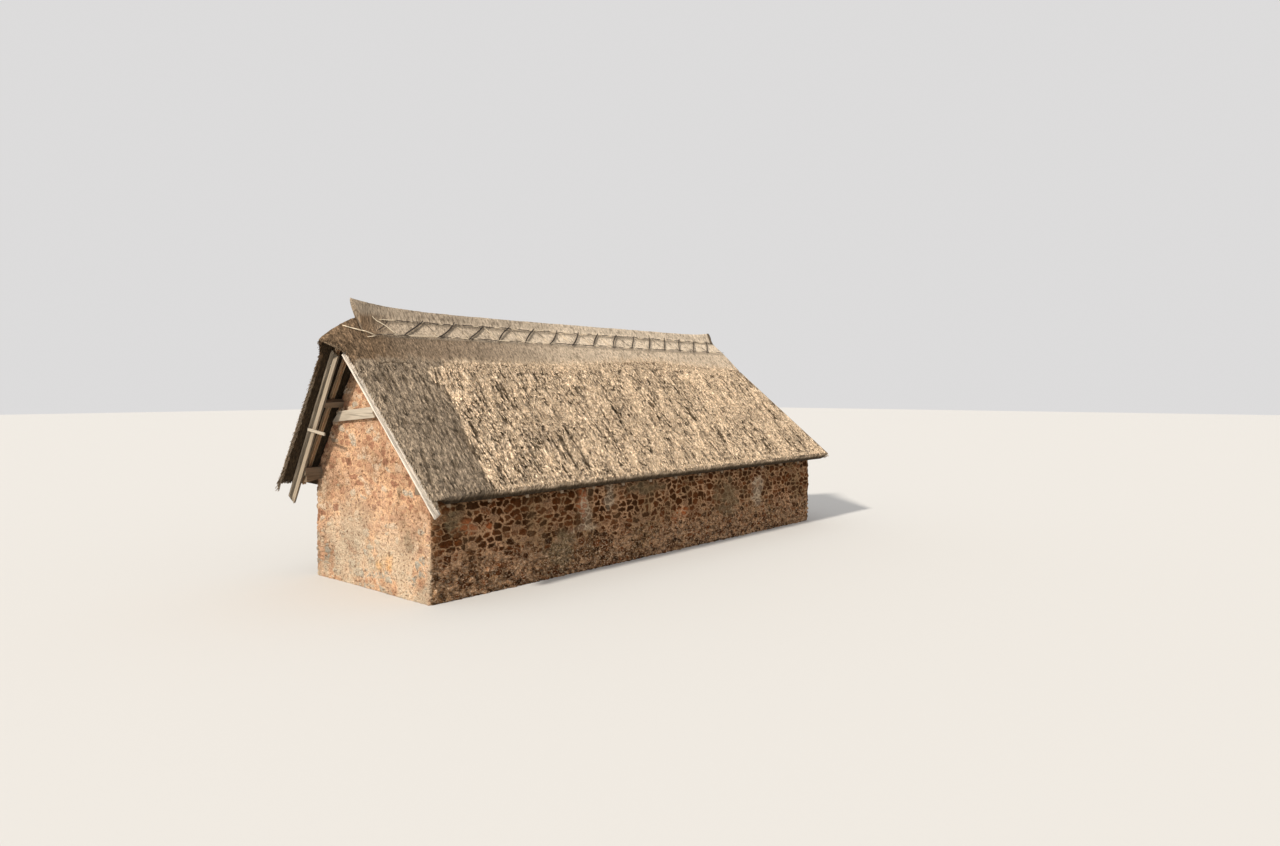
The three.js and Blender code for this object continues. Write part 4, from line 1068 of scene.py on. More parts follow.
def add_hip_end(name, thatch):
    """The hipped end: a closed section from near the ridge down to the eave and back, carried across
    from the front hip line to the rear one."""
    downhill, normal = hip_directions()
    run = HIP_EAVE - HIP_TOP
    rows = int(round(run * math.hypot(1, HIP_PITCH) / thatch.row_step))
    across = np.linspace(0, 1, int(round(2 * EAVE_Y / thatch.column_step)))[:, None]

    def spread(x_row):
        front, rear = hip_line_y(x_row, -1), hip_line_y(x_row, 1)
        return x_row + 0 * across, front + (rear - front) * across

    x, y = spread(HIP_TOP + run * np.linspace(0.02, 1, rows))
    golden = 0.75 * np.ones(x.shape)
    down = (x - HIP_TOP) * math.hypot(1, HIP_PITCH)
    relief, crack, tone = straw_relief(y + HIP_SHIFT, down, golden, thatch, HIP_SEED)
    fade = ease((y - hip_line_y(x, -1)) / HIP_FADE) * ease((hip_line_y(x, 1) - y) / HIP_FADE)
    height = hip_height(x) + COAT * ease((x - HIP_TOP - HIP_APRON) / 0.03)
    top = np.stack([x, y, height], axis=-1) + normal * (relief * fade)[..., None]

    x_low, y_low = spread(np.linspace(HIP_EAVE - square_cut(HIP_PITCH), HIP_TOP + run * 0.1, 6))
    under = np.stack([x_low, y_low, hip_height(x_low) - THATCH_DEPTH], axis=-1)
    rings = close_coat(top, under, downhill, 0.03)

    lip = np.zeros((len(rings), len(LIP_STEPS)))
    low = 0 * x_low
    return add_loft(
        name, rings,
        # painted shade: the cut edge darkens down its rows, and the underside is nearly black
        golden=ring_values(golden, lip + 0.15, low + 0.15),
        band=np.zeros(rings.shape[:2]),
        crack=ring_values(crack, lip + LIP_SHADE, low + 0.9),
        tone=ring_values(tone, lip + 0.5, low + 0.5),
        pale=np.zeros(rings.shape[:2]),
        lie=np.stack([rings[..., 1], rings[..., 0] * math.hypot(1, HIP_PITCH), 0 * rings[..., 2]], axis=-1),
    )


# Ridge cap

def crest_height(x):
    """Height of the cap's crest: level, sweeping up in a tip at each end."""
    return RIDGE_TOP + 0.19 * np.exp((LEFT_TIP - x) / 0.9) + 0.074 * np.exp((x - RIGHT_TIP) / 0.45)


def front_apron(x):
    """How far the cap reaches down the front slope, in plan."""
    return 0.72 - 0.15 * np.exp(-(((x - 8) / 2.3) ** 2))


def ragged_apron(x, side):
    """The apron's edge as it is cut, uneven by a few centimetres."""
    ragged = 0.05 * (layered(x / 0.14, 0 * x + 3 * side, 630) - 0.5)
    return slope_apron(x, side) + ragged


def cap_depth(x, offset, reach):
    """Thickness of the cap over the old straw: full by the ridge, and running out level with the
    coat at the apron's edge. Towards the gable it thins out over the hood."""
    golden = golden_share(x, RIDGE_Y + offset)
    edge = 0.012 + 0.026 * golden
    depth = CAP_DEPTH - (CAP_DEPTH - edge) * ease((np.abs(offset) - 0.33) / (reach - 0.33))
    by_gable = np.exp(-(((x - CAP_START) / 0.25) ** 2))
    return depth * (1 - 0.8 * by_gable * ease((np.abs(offset) - 0.05) / 0.12))


def crest_bell(offset):
    """Share of the crest's height at a distance from the ridge."""
    return np.clip(1 - (np.abs(offset) / CREST_WIDTH) ** 2, 0, 1) ** 1.5


def cap_height(x, offset, reach, x_crest):
    """Height of the cap's face, with the crest as a bell on top of the two slopes."""
    plain = roof_height(RIDGE_Y + offset) + cap_depth(x, offset, reach)
    return plain + crest_bell(offset) * (crest_height(x_crest) - RIDGE_Z - CAP_DEPTH)


class CapGrid(NamedTuple):
    """The cap's face, a row for each section over the ridge: its places before and after the crest
    leans out, how far each is from the ridge, and how far its section reaches."""

    plain_x: np.ndarray
    x: np.ndarray
    y: np.ndarray
    z: np.ndarray
    away: np.ndarray
    reach: np.ndarray


def cap_grid():
    """Sections from the gable to the hip line, then on down the hip. The crest is a smooth bell on
    top of the two slopes, and leans out over each end."""
    front = np.concatenate([np.linspace(1, 0.21, 34), np.linspace(0.19, 0, 11)])
    rear = np.concatenate([np.linspace(0, 0.24, 11)[1:], np.linspace(0.26, 1, 26)])
    shares = np.concatenate([-front, rear])[::-1]
    main = np.concatenate([[0, 0.003, 0.008], np.linspace(0.012, 1, 560)])[:, None]
    on_hip = np.linspace(0, 1, 26)[1:, None]

    x_mid = CAP_START + (HIP_TOP + 0.3 - CAP_START) * main
    fade = ease((HIP_TOP - x_mid) / 0.3)
    reaches = [fade * ragged_apron(x_mid, side) + (1 - fade) * slope_apron(x_mid, side) for side in (-1, 1)]
    reach = np.where(shares < 0, *reaches)
    offset = shares * reach
    y = RIDGE_Y + offset
    plain_x = CAP_START + (hip_line(y) - CAP_START) * main
    lean_left = (LEFT_TIP - CAP_START) * np.exp(-(plain_x - CAP_START) / 0.12)
    lean_right = (RIGHT_TIP - HIP_TOP) * np.exp((plain_x - hip_line(y)) / 0.12)
    x = plain_x + (lean_left + lean_right) * np.clip(1 - (np.abs(offset) / 0.1) ** 2, 0, 1)
    z = cap_height(plain_x, offset, reach, x)
    over_ridge = (plain_x, x, y, z, np.abs(offset), reach)

    hip_offset = np.where(shares < 0, shares * HIP_APRON * HIP_PITCH / FRONT_PITCH, shares * REAR_APRON)
    y = RIDGE_Y + hip_offset + 0 * on_hip
    start = hip_line(y)
    x = start + (HIP_TOP + HIP_APRON - start) * on_hip + 0.004
    away = (x - HIP_TOP) * HIP_PITCH / REAR_PITCH
    z = hip_height(x) + cap_depth(x, away, REAR_APRON)
    over_hip = (x, x, y, z, away, np.full(x.shape, REAR_APRON))
    return CapGrid(*[np.concatenate(rows) for rows in zip(over_ridge, over_hip)])


def cap_looks(grid, rings):
    """The cap's attributes. It is brown beside the gable, and paler between and below the rods towards the
    far end. It has dark pores, painted rod shadows, painted shade at the crest's cut end and underneath,
    and is darker past its edge."""
    from_ridge = np.abs(grid.y - RIDGE_Y)
    right = ease((grid.x + 0.05) / 0.8)
    far = ease((grid.x - 0.5) / 7)
    lower = ease((from_ridge - LOWER_ROD) / 0.03)
    crest = ease((UPPER_ROD - 0.03 - from_ridge) / 0.03)
    own_golden = golden_share(grid.x, grid.y)
    ragged = 0.16 * (layered(grid.x / 0.06, grid.y / 0.09, 640) - 0.5)
    inside = ease((grid.reach - grid.away - 0.01 + ragged) / 0.09)
    cleaned = np.maximum(right, 0.95 * crest)
    between_rods = (1 - lower) * (0.46 + 0.3 * far) * cleaned
    below_rods = lower * (0.13 * right + 0.36 * far)
    # painted shade at the cut end of the crest
    painted_cut_end_shade = ease((grid.x - HIP_TOP + 0.05) / 0.05) * ease((RIGHT_TIP + 0.1 - grid.x) / 0.08)
    painted_cut_end_shade = painted_cut_end_shade * (crest_bell(grid.y - RIDGE_Y) > 0.05)
    shadow = np.where(grid.y < RIDGE_Y, *[rod_shadow(grid.x, grid.away, side) for side in (-1, 1)])
    pores = 0.45 * ease((layered(grid.x / 0.03, grid.y / 0.035, 650, 2) - 0.6) / 0.1)
    pores_and_painted_shade = np.maximum(np.maximum(0.8 * painted_cut_end_shade + 0.25 * (1 - inside) * own_golden, shadow), pores)
    band = (1 - between_rods - 0.1 * below_rods - 0.6 * lower * far) * inside
    tone = 0.25 + 0.5 * layered(grid.x / 0.05, grid.y / 0.06, 620)
    # painted reflection: the crest's tone is lowered to stand for the sky's grey reflection dulling it
    tone = tone + 0.3 * far + 0.12 * (1 - lower) * right - 0.3 * crest
    down = np.abs(rings[..., 1] - RIDGE_Y) * math.hypot(1, FRONT_PITCH)
    blank = np.zeros((len(rings), rings.shape[1] - grid.x.shape[1]))
    return {
        "golden": ring_values((0.5 + 0.3 * far) * inside + own_golden * (1 - inside), blank),
        "band": ring_values(band, blank + 1),
        # painted shade: the cap's underside is darkened
        "crack": ring_values(pores_and_painted_shade, blank + 0.6),
        "tone": ring_values(tone, blank + 0.5),
        "pale": ring_values((between_rods + below_rods) * inside, blank),
        "lie": np.stack([rings[..., 0], down, 0 * down], axis=-1),
    }


def add_ridge_cap(name):
    """The ridge cap: its face, made uneven by noise, and an underside that is bedded in the coats."""
    grid = cap_grid()
    outward = np.where(grid.y < RIDGE_Y, -1, 1)
    stipple = 0.014 * (layered(grid.x / 0.035, grid.y / 0.035, 600, 2) - 0.5)
    swell = 0.02 * (layered(grid.x / 0.5, grid.y / 0.25, 610) - 0.5)
    lift = stipple + swell
    top = np.stack([grid.x, grid.y + outward * 0.6 * lift, grid.z + 0.8 * lift], axis=-1)

    span = np.linspace(0, 1, 9)
    rear_edge, front_edge = top[:, :1, 1], top[:, -1:, 1]
    y_low = np.where(span < 0.5, front_edge + (RIDGE_Y - front_edge) * 2 * span,
                     RIDGE_Y + (rear_edge - RIDGE_Y) * (2 * span - 1))
    x_low = np.stack([np.interp(low, y[::-1], x[::-1]) for low, y, x in zip(y_low, grid.y, grid.plain_x)])
    face = np.where(x_low > hip_line(y_low), hip_height(x_low), roof_height(y_low))
    rings = ring_values(top, np.stack([x_low, y_low, face - CAP_BEDDING], axis=-1))
    return add_loft(name, rings, **cap_looks(grid, rings))


# Hazel rods

class Rod(NamedTuple):
    """A rod on one side of the ridge. Its ends are each an along and a distance from the ridge."""

    start: tuple
    end: tuple
    radius: float
    pale: float
    shadow: float


def rod_lines(side):
    """Rods of one side of the ridge: two long rods, two short ones that cross by the gable, and the
    spars that slant between the long rods, with a thinner rod leaning back from each to the next."""
    slant = slope_pitch(side) / HIP_PITCH
    rods = [
        Rod((0.3, UPPER_ROD), (HIP_TOP + 0.1, UPPER_ROD), 0.01, 0.15, 0.45),
        Rod((CAP_START, LOWER_ROD), (HIP_TOP + LOWER_ROD * slant, LOWER_ROD), 0.01, 0.15, 0.45),
        Rod((0.15, 0.115), (0.545, LOWER_ROD), 0.013, 1.0, 0.3),
        Rod((0.15, 0.3), (0.5, UPPER_ROD), 0.009, 0.0, 0.3),
    ]
    feet = [0.733 + 0.84 * i - 0.0075 * i * i for i in range(SPAR_COUNT + 1)]
    for i, foot in enumerate(feet[:-1]):
        head = foot + max(0.3, 0.62 - 0.03 * i)
        rods.append(Rod((foot - 0.03, LOWER_ROD + 0.02), (head, UPPER_ROD - 0.02), 0.015, 0.0, 0.6))
        if i < SPAR_COUNT - 1:
            rods.append(Rod((head, UPPER_ROD), (feet[i + 1], LOWER_ROD), 0.007, 0.3, 0.15))
    return rods


def rod_shadow(x, away, side):
    """How dark the cap is beside its rods: each rod darkens a narrow strip on its lower side."""
    darkness = np.zeros(x.shape)
    for rod in rod_lines(side):
        start = np.array(rod.start)
        run = np.array(rod.end) - start
        share = np.clip(((x - start[0]) * run[0] + (away - start[1]) * run[1]) / (run @ run), 0, 1)
        distance = np.hypot(x - start[0] - share * run[0], away - 0.012 - start[1] - share * run[1])
        darkness = np.maximum(darkness, rod.shadow * np.exp(-((distance / (0.01 + rod.radius)) ** 2)))
    return darkness


def rod_points(rod, side, seed):
    """A rod's line over the cap, with the slight bends of a split hazel stick."""
    start, end = rod.start, rod.end
    length = math.hypot(end[0] - start[0], end[1] - start[1])
    share = np.linspace(0, 1, max(10, int(length / 0.05)))
    x = start[0] + (end[0] - start[0]) * share
    bow = 0.03 * math.sin(seed * 2.4) * np.sin(math.pi * share) * (length < 2)
    bend = 0.02 * (layered(x / 0.35, 0 * x + seed, 700) - 0.5)
    away = start[1] + (end[1] - start[1]) * share + bend + bow
    clear = 0.6 * rod.radius * math.hypot(1, slope_pitch(side)) + 0.026
    lift = clear + 0.012 * (layered(x / 0.2, 0 * x + seed, 710) - 0.2)
    z = cap_height(x, side * away, slope_apron(x, side), x)
    return np.stack([x, RIDGE_Y + side * away, z + lift], axis=-1)


def smooth_line(corners, steps=24):
    """A line through a few points, evened out into small steps."""
    corners = np.array(corners)
    at = np.linspace(0, len(corners) - 1, steps)
    numbers = np.arange(len(corners))
    return np.stack([np.interp(at, numbers, corners[:, axis]) for axis in range(3)], axis=-1)


def tube_rings(points, radius, seed, outward, around=8):
    """Rings round a line: at each point an oval square to the line and flattened towards the roof,
    as split hazel is, and knotted by noise."""
    heading = np.gradient(points, axis=0)
    heading /= np.linalg.norm(heading, axis=-1, keepdims=True)
    side = np.cross(heading, outward)
    side /= np.linalg.norm(side, axis=-1, keepdims=True)
    up = np.cross(side, heading)
    angle = np.linspace(0, 2 * math.pi, around, endpoint=False)[None, :]
    station = np.arange(len(points))[:, None]
    taper = np.minimum(1, 0.5 + 0.25 * np.minimum(station, len(points) - 1 - station))
    thick = radius * taper * (0.85 + 0.4 * noise(station / 2.5, angle / 2 + seed, 720))
    return points[:, None, :] + (up[:, None, :] * 0.5 * np.cos(angle)[..., None]
                                 + side[:, None, :] * -np.sin(angle)[..., None]) * thick[..., None]


def add_rods(name, side):
    """All the hazel rods of one side of the ridge, joined in one mesh. In front, one runs on over
    the hood."""
    outward = slope_directions(side)[1][0]
    rods = enumerate(rod_lines(side))
    sticks = [(rod_points(rod, side, seed), rod.radius, rod.pale) for seed, rod in rods]
    if side < 0:
        sticks.append((smooth_line(HOOD_ROD) + 0.02 * outward, 0.012, 0.85))
    points, sides, ends, grain, worn = [], [], [], [], []
    total = 0
    for seed, (line, radius, pale) in enumerate(sticks):
        rings = tube_rings(line, radius, seed, outward)
        count, around = rings.shape[:2]
        side_faces, first, last = loft_faces(count, around)
        sides.append(side_faces + total)
        ends += [first + total, last + total]
        points.append(rings.reshape(-1, 3))
        station = np.repeat(np.arange(count), around)
        angle = np.tile(np.arange(around), count)
        grain.append(np.stack([0.02 * np.cos(angle), 0.02 * np.sin(angle), station * 0.06 + seed], axis=-1))
        spots = ease((noise(station / 2.5, 0.0 * station, 730 + seed) - 0.5) / 0.12)
        worn.append(np.clip(pale - 0.25 + 0.9 * spots * (pale > 0), 0, 1))
        total += count * around
    return add_piece(name, np.concatenate(points), [np.concatenate(sides)], [np.concatenate(ends)],
                     grain=np.concatenate(grain), worn=np.concatenate(worn))


# Loose straw

class StrawSize(NamedTuple):
    """Shortest and longest, thinnest and thickest, and the least and most that a straw's end stands
    off."""

    length: tuple
    width: tuple
    lift: tuple


# Faces of a straw: the blunt lower end, then the three sides that run up to its point. Then how much
# painted shade each of its four corners has, most at the point under the coat
STRAW_FACES = np.array([[0, 1, 2], [1, 0, 3], [2, 1, 3], [0, 2, 3]])
STRAW_ROOT_SHADE = (0.12, 0.12, 0.0, 0.45)

COAT_STRAW = StrawSize((0.09, 0.25), (0.009, 0.022), (0.004, 0.024))
EAVE_STRAW = StrawSize((0.1, 0.15), (0.012, 0.026), (-0.004, 0.014))
VERGE_STRAW = EAVE_STRAW._replace(width=(0.008, 0.016))
APRON_STRAW = EAVE_STRAW._replace(width=(0.01, 0.02))


class Straws(NamedTuple):
    """Roots and directions of loose straw bundles, and the colours of the coat they stand in."""

    root: np.ndarray
    down: np.ndarray
    outward: np.ndarray
    golden: np.ndarray
    band: np.ndarray
    pale: np.ndarray
    tone: np.ndarray


def join_straws(groups):
    """Several groups of straws as one."""
    return Straws(*[np.concatenate(parts) for parts in zip(*groups)])


def keep_straws(kept, *parts):
    """The straws of a group that are kept."""
    return Straws(*[part[kept] for part in parts])


def add_straws(name, straws, size, seed):
    """Bundles of straw as thin wedges, laid down the slope: a point under the coat, and a blunt
    three-cornered end further down that stands off it."""
    random = np.random.default_rng(seed)
    count = len(straws.root)
    length, width, lift = (random.uniform(*limits, count)[:, None, None] for limits in size)
    down = straws.down[:, None, :]
    outward = straws.outward[:, None, :]
    across = np.cross(outward, down)
    down = down + across * random.normal(0, 0.16, (count, 1, 1))
    corners = np.array([(-0.5, -0.2), (0.5, -0.2), (0, 0.5)])[None]
    profile = across * corners[..., :1] + outward * corners[..., 1:]
    root = straws.root[:, None, :]
    blunt = root + down * length + profile * width + outward * lift
    place = np.concatenate([blunt, root - outward * 0.012], axis=1).reshape(-1, 3)
    start = 4 * np.arange(count)[:, None, None]
    tone = 0.45 * straws.tone + 0.55 * random.uniform(0, 1, count)
    values = {"golden": straws.golden, "band": straws.band, "pale": straws.pale, "tone": tone}
    return add_piece(
        name, place, [], [(STRAW_FACES + start).reshape(-1, 3)],
        crack=np.tile(STRAW_ROOT_SHADE, count),
        lie=np.stack([place[:, 0], place[:, 1] * 1.6 + place[:, 2] * 0.4, place[:, 2]], axis=-1),
        **{label: np.repeat(value, 4) for label, value in values.items()},
    )


def slope_straws(side, count, thatch, seed):
    """Straws spread over a long slope below the ridge cap. They follow the coat's relief and leave
    its gaps open, and few lie on the older straw."""
    random = np.random.default_rng(seed)
    limit = RIDGE_Y + side * 0.62
    y = limit + (side * (EAVE_Y - 0.12) - limit) * random.uniform(0, 1, count)
    x = random.uniform(-0.5, 14.0, count)
    golden = golden_share(x, y)
    down, outward = slope_directions(side, count)
    relief, crack, tone = straw_relief(x, slope_down(y, side), golden, thatch, SLOPE_SEED + side)
    kept = (x > verge_line(y, side) + 0.08) & (x < hip_line(y) - 0.1)
    kept &= random.uniform(0, 1, count) < 0.15 + 0.85 * golden
    kept &= np.maximum(crack, border_crack(x, y)) < 0.12 + 0.45 * random.uniform(0, 1, count)
    height = slope_top(x, y, side) + coat_height(x, y, golden)
    root = np.stack([x, y, height], axis=-1) + outward * (relief - 0.004)[:, None]
    return keep_straws(kept, root, down, outward, golden, 0 * x, 0 * x, tone)


def hip_straws(count, seed):
    """Straws spread evenly over the hipped end."""
    random = np.random.default_rng(seed)
    x = HIP_TOP + 0.6 + (HIP_EAVE - 0.12 - HIP_TOP - 0.6) * np.sqrt(random.uniform(0, 1, count))
    front, rear = hip_line_y(x, -1), hip_line_y(x, 1)
    y = front + (rear - front) * random.uniform(0.01, 0.99, count)
    root = np.stack([x, y, hip_height(x) + COAT], axis=-1)
    return Straws(root, *hip_directions(count), 0 * x + 0.8, 0 * x, 0 * x, 0 * x + 0.5)


def eave_straws(side, count, seed):
    """Straw ends along a long eave, trimmed so that they just pass its edge."""
    random = np.random.default_rng(seed)
    x = random.uniform(-0.16 if side < 0 else REAR_VERGE, HIP_EAVE, count)
    depth = random.uniform(0, 1, count)
    down, outward = slope_directions(side, count)
    edge = np.stack([x, 0 * x + side * EAVE_Y, 0 * x + EAVE_Z], axis=-1)
    root = edge - down * 0.13 - outward * (0.01 + 0.05 * depth)[:, None]
    golden = golden_share(x, 0 * x + side * EAVE_Y)
    root[:, 2] += coat_height(x, 0 * x + side * EAVE_Y, golden)
    root -= down * eave_cut(x, side)[:, None]
    # painted shade: straws rooted deeper under the eave are darker and less golden
    return Straws(root, down, outward, golden * (1 - 0.3 * depth), 0 * x, 0 * x, 0.8 - 1.1 * depth)


def hip_eave_straws(count, seed):
    """Straw ends along the hipped end's eave."""
    random = np.random.default_rng(seed)
    y = random.uniform(-EAVE_Y, EAVE_Y, count)
    depth = random.uniform(0, 1, count)
    down, outward = hip_directions(count)
    edge = np.stack([0 * y + HIP_EAVE, y, 0 * y + EAVE_Z], axis=-1)
    root = edge - down * 0.1 - outward * (0.02 + 0.15 * depth)[:, None]
    # painted shade: straws rooted deeper under the eave are darker and less golden
    return Straws(root, down, outward, 0.7 * (1 - 0.5 * depth), 0 * y, 0 * y, 0.8 - 0.6 * depth)


def verge_straws(side, count, seed):
    """Straw ends along the verge and the hood's edge, pointing down the slope and outwards."""
    random = np.random.default_rng(seed)
    start = RIDGE_Y + side * 0.02
    y = start + (side * EAVE_Y - start) * random.uniform(0, 1, count)
    x = verge_line(y, side) + 0.03
    down, outward = slope_directions(side, count)
    down = down + np.array([-0.3 if side < 0 else -0.15, 0, 0])
    down /= np.linalg.norm(down, axis=-1, keepdims=True)
    depth = random.uniform(0, 1, count) * slope_depth(x, y, side)
    root = np.stack([x, y, slope_top(x, y, side) - depth], axis=-1) - down * 0.05
    band = ease((BAND_WIDTH - np.abs(y - RIDGE_Y)) / 0.05)
    # pale tips on most verge straws: partly their own bleached ends, partly painted sunlight on the ends at
    # the edge
    pale = 0.5 * (random.uniform(0, 1, count) > 0.4) * (1 - band)
    return Straws(root, down, outward, 0 * x, band, pale, 0 * x + 0.6)


def apron_straws(side, count, seed):
    """Pale straws that show below the cap's lower edge."""
    random = np.random.default_rng(seed)
    x = random.uniform(0.3, 11.6, count)
    reach = slope_apron(x, side)
    y = RIDGE_Y + side * (reach - 0.07 + 0.16 * random.uniform(0, 1, count))
    root = np.stack([x, y, roof_height(y) + 0.03], axis=-1)
    golden = golden_share(x, y)
    kept = random.uniform(0, 1, count) < golden
    pale = 0.2 * random.uniform(0, 1, count)
    tone = 0.3 + 0.5 * layered(x / 0.2, 0 * x, 660)
    return keep_straws(kept, root, *slope_directions(side, count), golden, 0 * x, pale, tone)


# Timbers

def rounded_section(rounding=0.16, bends=3):
    """Corners of a unit square from -1 to 1 with rounded corners, anticlockwise, and a point on each
    side."""
    points = []
    for corner, (x, y) in enumerate(((1, -1), (1, 1), (-1, 1), (-1, -1))):
        points.append((x if corner in (0, 2) else 0, y if corner in (1, 3) else 0))
        centre = np.array([x, y]) * (1 - rounding)
        for k in range(bends):
            angle = math.pi / 2 * (corner - 1 + k / (bends - 1))
            points.append(tuple(centre + rounding * np.array([math.cos(angle), math.sin(angle)])))
    return np.array(points)


def add_timber(name, start, end, up, width, height, seed, hewn=0.004, bow=0.01):
    """A hewn timber: a rounded rectangle carried from start to end, bowed a little and uneven all
    over. width and height are each a size, or a pair for the two ends."""
    start, end = np.array(start, float), np.array(end, float)
    length = np.linalg.norm(end - start)
    heading = (end - start) / length
    up = np.array(up, float)
    up -= heading * (up @ heading)
    up /= np.linalg.norm(up)
    side = np.cross(up, heading)
    section = rounded_section()
    share = np.linspace(0, 1, max(6, int(length / 0.12)))[:, None]
    width = np.interp(share, (0, 1), np.broadcast_to(width, 2))
    height = np.interp(share, (0, 1), np.broadcast_to(height, 2))
    station, corner = share * length, np.arange(len(section))[None, :]
    uneven = 1 + hewn / 0.05 * (noise(station / 0.25, corner * 0.7, 800 + seed) - 0.5)
    sway = bow * np.sin(math.pi * share) * (1 if seed % 2 else -1)
    x = section[None, :, 0] * width / 2 * uneven + sway
    z = section[None, :, 1] * height / 2 * uneven
    line = start + (end - start) * share
    rings = line[:, None, :] + side * x[..., None] + up * z[..., None]
    grain = np.stack([x + seed * 1.7, z + seed * 0.9, station + 0 * x], axis=-1)
    return add_loft(name, rings, grain=grain)


def slope_timber(name, side, wider=1.0):
    """A timber that lies along a slope, hewn round the middle line of the frame's own piece. Each
    end lies where the piece reaches furthest down or up the slope."""
    pitch = slope_pitch(side)
    size = math.hypot(1, pitch)
    points = np.array([vertex.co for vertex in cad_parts[name].data.vertices]) - (GABLE_X, 0, 0)
    down = (side * points[:, 1] - pitch * points[:, 2]) / size
    outward = (side * pitch * points[:, 1] + points[:, 2]) / size
    depth = np.ptp(outward) * wider
    middle = outward.max() - depth / 2
    ends = []
    for at in (down.max(), down.min()):
        x = points[np.abs(down - at) < 0.001, 0]
        y = side * (at + pitch * middle) / size
        ends.append(((x.min() + x.max()) / 2, y, (middle - pitch * at) / size))
    thick = np.ptp(points[np.abs(down - down.max()) < 0.001, 0])
    return add_timber(name.replace("verge", "hewn_verge").replace("wall", "hewn_wall"), *ends,
                      (1, 0, 0), depth, thick, len(name))


# Which finish each of the frame's own timbers gets
FRAME_TIMBERS = {
    "oak_front_slope": ["front_rafters"],
    "oak_rear_slope": ["rear_rafters"],
    "oak_along": ["hip_rafters", "ridge_beam", "front_purlin", "rear_purlin", "front_wall_plate",
                  "rear_wall_plate", "door_lintel", "broken_rafter_foot"],
    "oak_across": ["end_wall_plate", "wall_timber_stub"],
    "grey_across": ["gable_collar", "verge_batten"],
}
for truss in (1, 2, 3):
    FRAME_TIMBERS["oak_front_slope"].append(f"truss_{truss}_front_principal")
    FRAME_TIMBERS["oak_rear_slope"].append(f"truss_{truss}_rear_principal")
    FRAME_TIMBERS["oak_across"].append(f"truss_{truss}_collar")


# Settings

def colour_setting(name, description, default):
    """A colour that a user can change."""
    return FloatVectorProperty(name=name, description=description, default=default, subtype="COLOR", min=0,
                               max=1)


def length_setting(name, description, default, least, most):
    """A length that a user can change."""
    return FloatProperty(name=name, description=description, default=default, min=least, max=most,
                         unit="LENGTH")


class BarnStone(bpy.types.PropertyGroup):
    """Sizes and colours of the rubble walls."""

    stone_length: length_setting("Stone length", "Usual length of a stone", 0.21, 0.1, 0.6)
    stone_height: length_setting("Stone height", "Usual height of a stone", 0.135, 0.05, 0.4)
    face_step: length_setting("Face step", "Distance between points of the stone faces", 0.019, 0.01, 0.1)
    front_mortar: colour_setting("Front mortar", "Pointing of the red walls", (0.47, 0.275, 0.155))
    olive_mortar: colour_setting("Olive mortar", "Damp pointing of the red walls", (0.235, 0.147, 0.075))
    gable_mortar: colour_setting("Gable mortar", "Pointing of the pink gable", (0.58, 0.365, 0.215))
    render: colour_setting("Render", "Old render patches", (0.20, 0.15, 0.085))
    lime: colour_setting("Lime", "Lime wash", (0.62, 0.50, 0.36))
    orange: colour_setting("Fresh stone", "Freshly broken stone", (0.42, 0.13, 0.045))
    ochre: colour_setting("Ochre stain", "Yellow stain low on the gable", (0.68, 0.36, 0.09))


class BarnThatch(bpy.types.PropertyGroup):
    """Sizes and colours of the straw."""

    column_step: length_setting("Column step", "Distance between points along the ridge", 0.022, 0.01, 0.2)
    row_step: length_setting("Row step", "Distance between points down the slope", 0.04, 0.01, 0.2)
    bundle_width: length_setting("Bundle width", "Width of a straw bundle", 0.06, 0.01, 0.2)
    bundle_length: length_setting("Bundle length", "Length of a bundle that shows", 0.2, 0.05, 1)
    golden_relief: length_setting("Golden relief", "Roughness of the newer coat", 0.055, 0, 0.1)
    weathered_relief: length_setting("Weathered relief", "Roughness of the older coat", 0.018, 0, 0.1)
    straw_count: IntProperty(name="Loose straws", description="Straws spread over a long slope",
                             default=38000, min=0, max=40000)
    shaded: colour_setting("Shaded straw", "The newer coat between its straws", (0.37, 0.235, 0.12))
    golden: colour_setting("Golden straw", "The newer coat", (0.78, 0.63, 0.465))
    weathered: colour_setting("Weathered straw", "The older coat", (0.31, 0.24, 0.17))
    band: colour_setting("Ridge band", "The smooth cap and hood", (0.17, 0.113, 0.068))
    pale: colour_setting("Pale straw", "Straw tips and worn places", (0.65, 0.545, 0.42))


class BarnTimber(bpy.types.PropertyGroup):
    """Colours of the timbers and rods."""

    brown: colour_setting("Brown oak", "Sheltered timber", (0.26, 0.18, 0.11))
    grey: colour_setting("Grey oak", "Boards out in the weather", (0.52, 0.44, 0.34))
    bleached: colour_setting("Bleached oak", "The board that faces the sun", (0.79, 0.70, 0.60))
    tan: colour_setting("Tan oak", "Boards half under the straw", (0.385, 0.305, 0.215))
    bark: colour_setting("Hazel bark", "Bark of the rods", (0.03, 0.019, 0.011))
    split_hazel: colour_setting("Split hazel", "Where a rod is split or worn", (0.86, 0.72, 0.52))


class BarnStage(bpy.types.PropertyGroup):
    """Light, floor and camera."""

    sun_strength: FloatProperty(name="Sun", description="Strength of the key light", default=4.0, min=0,
                                max=20)
    sky_strength: FloatProperty(name="Sky", description="Strength of the light all round", default=0.75,
                                min=0, max=5)
    floor: colour_setting("Floor", "Colour of the floor", (0.62, 0.61, 0.59))
    lens: FloatProperty(name="Lens", description="Focal length in millimetres", default=24.0, min=10,
                        max=200)


# Operators

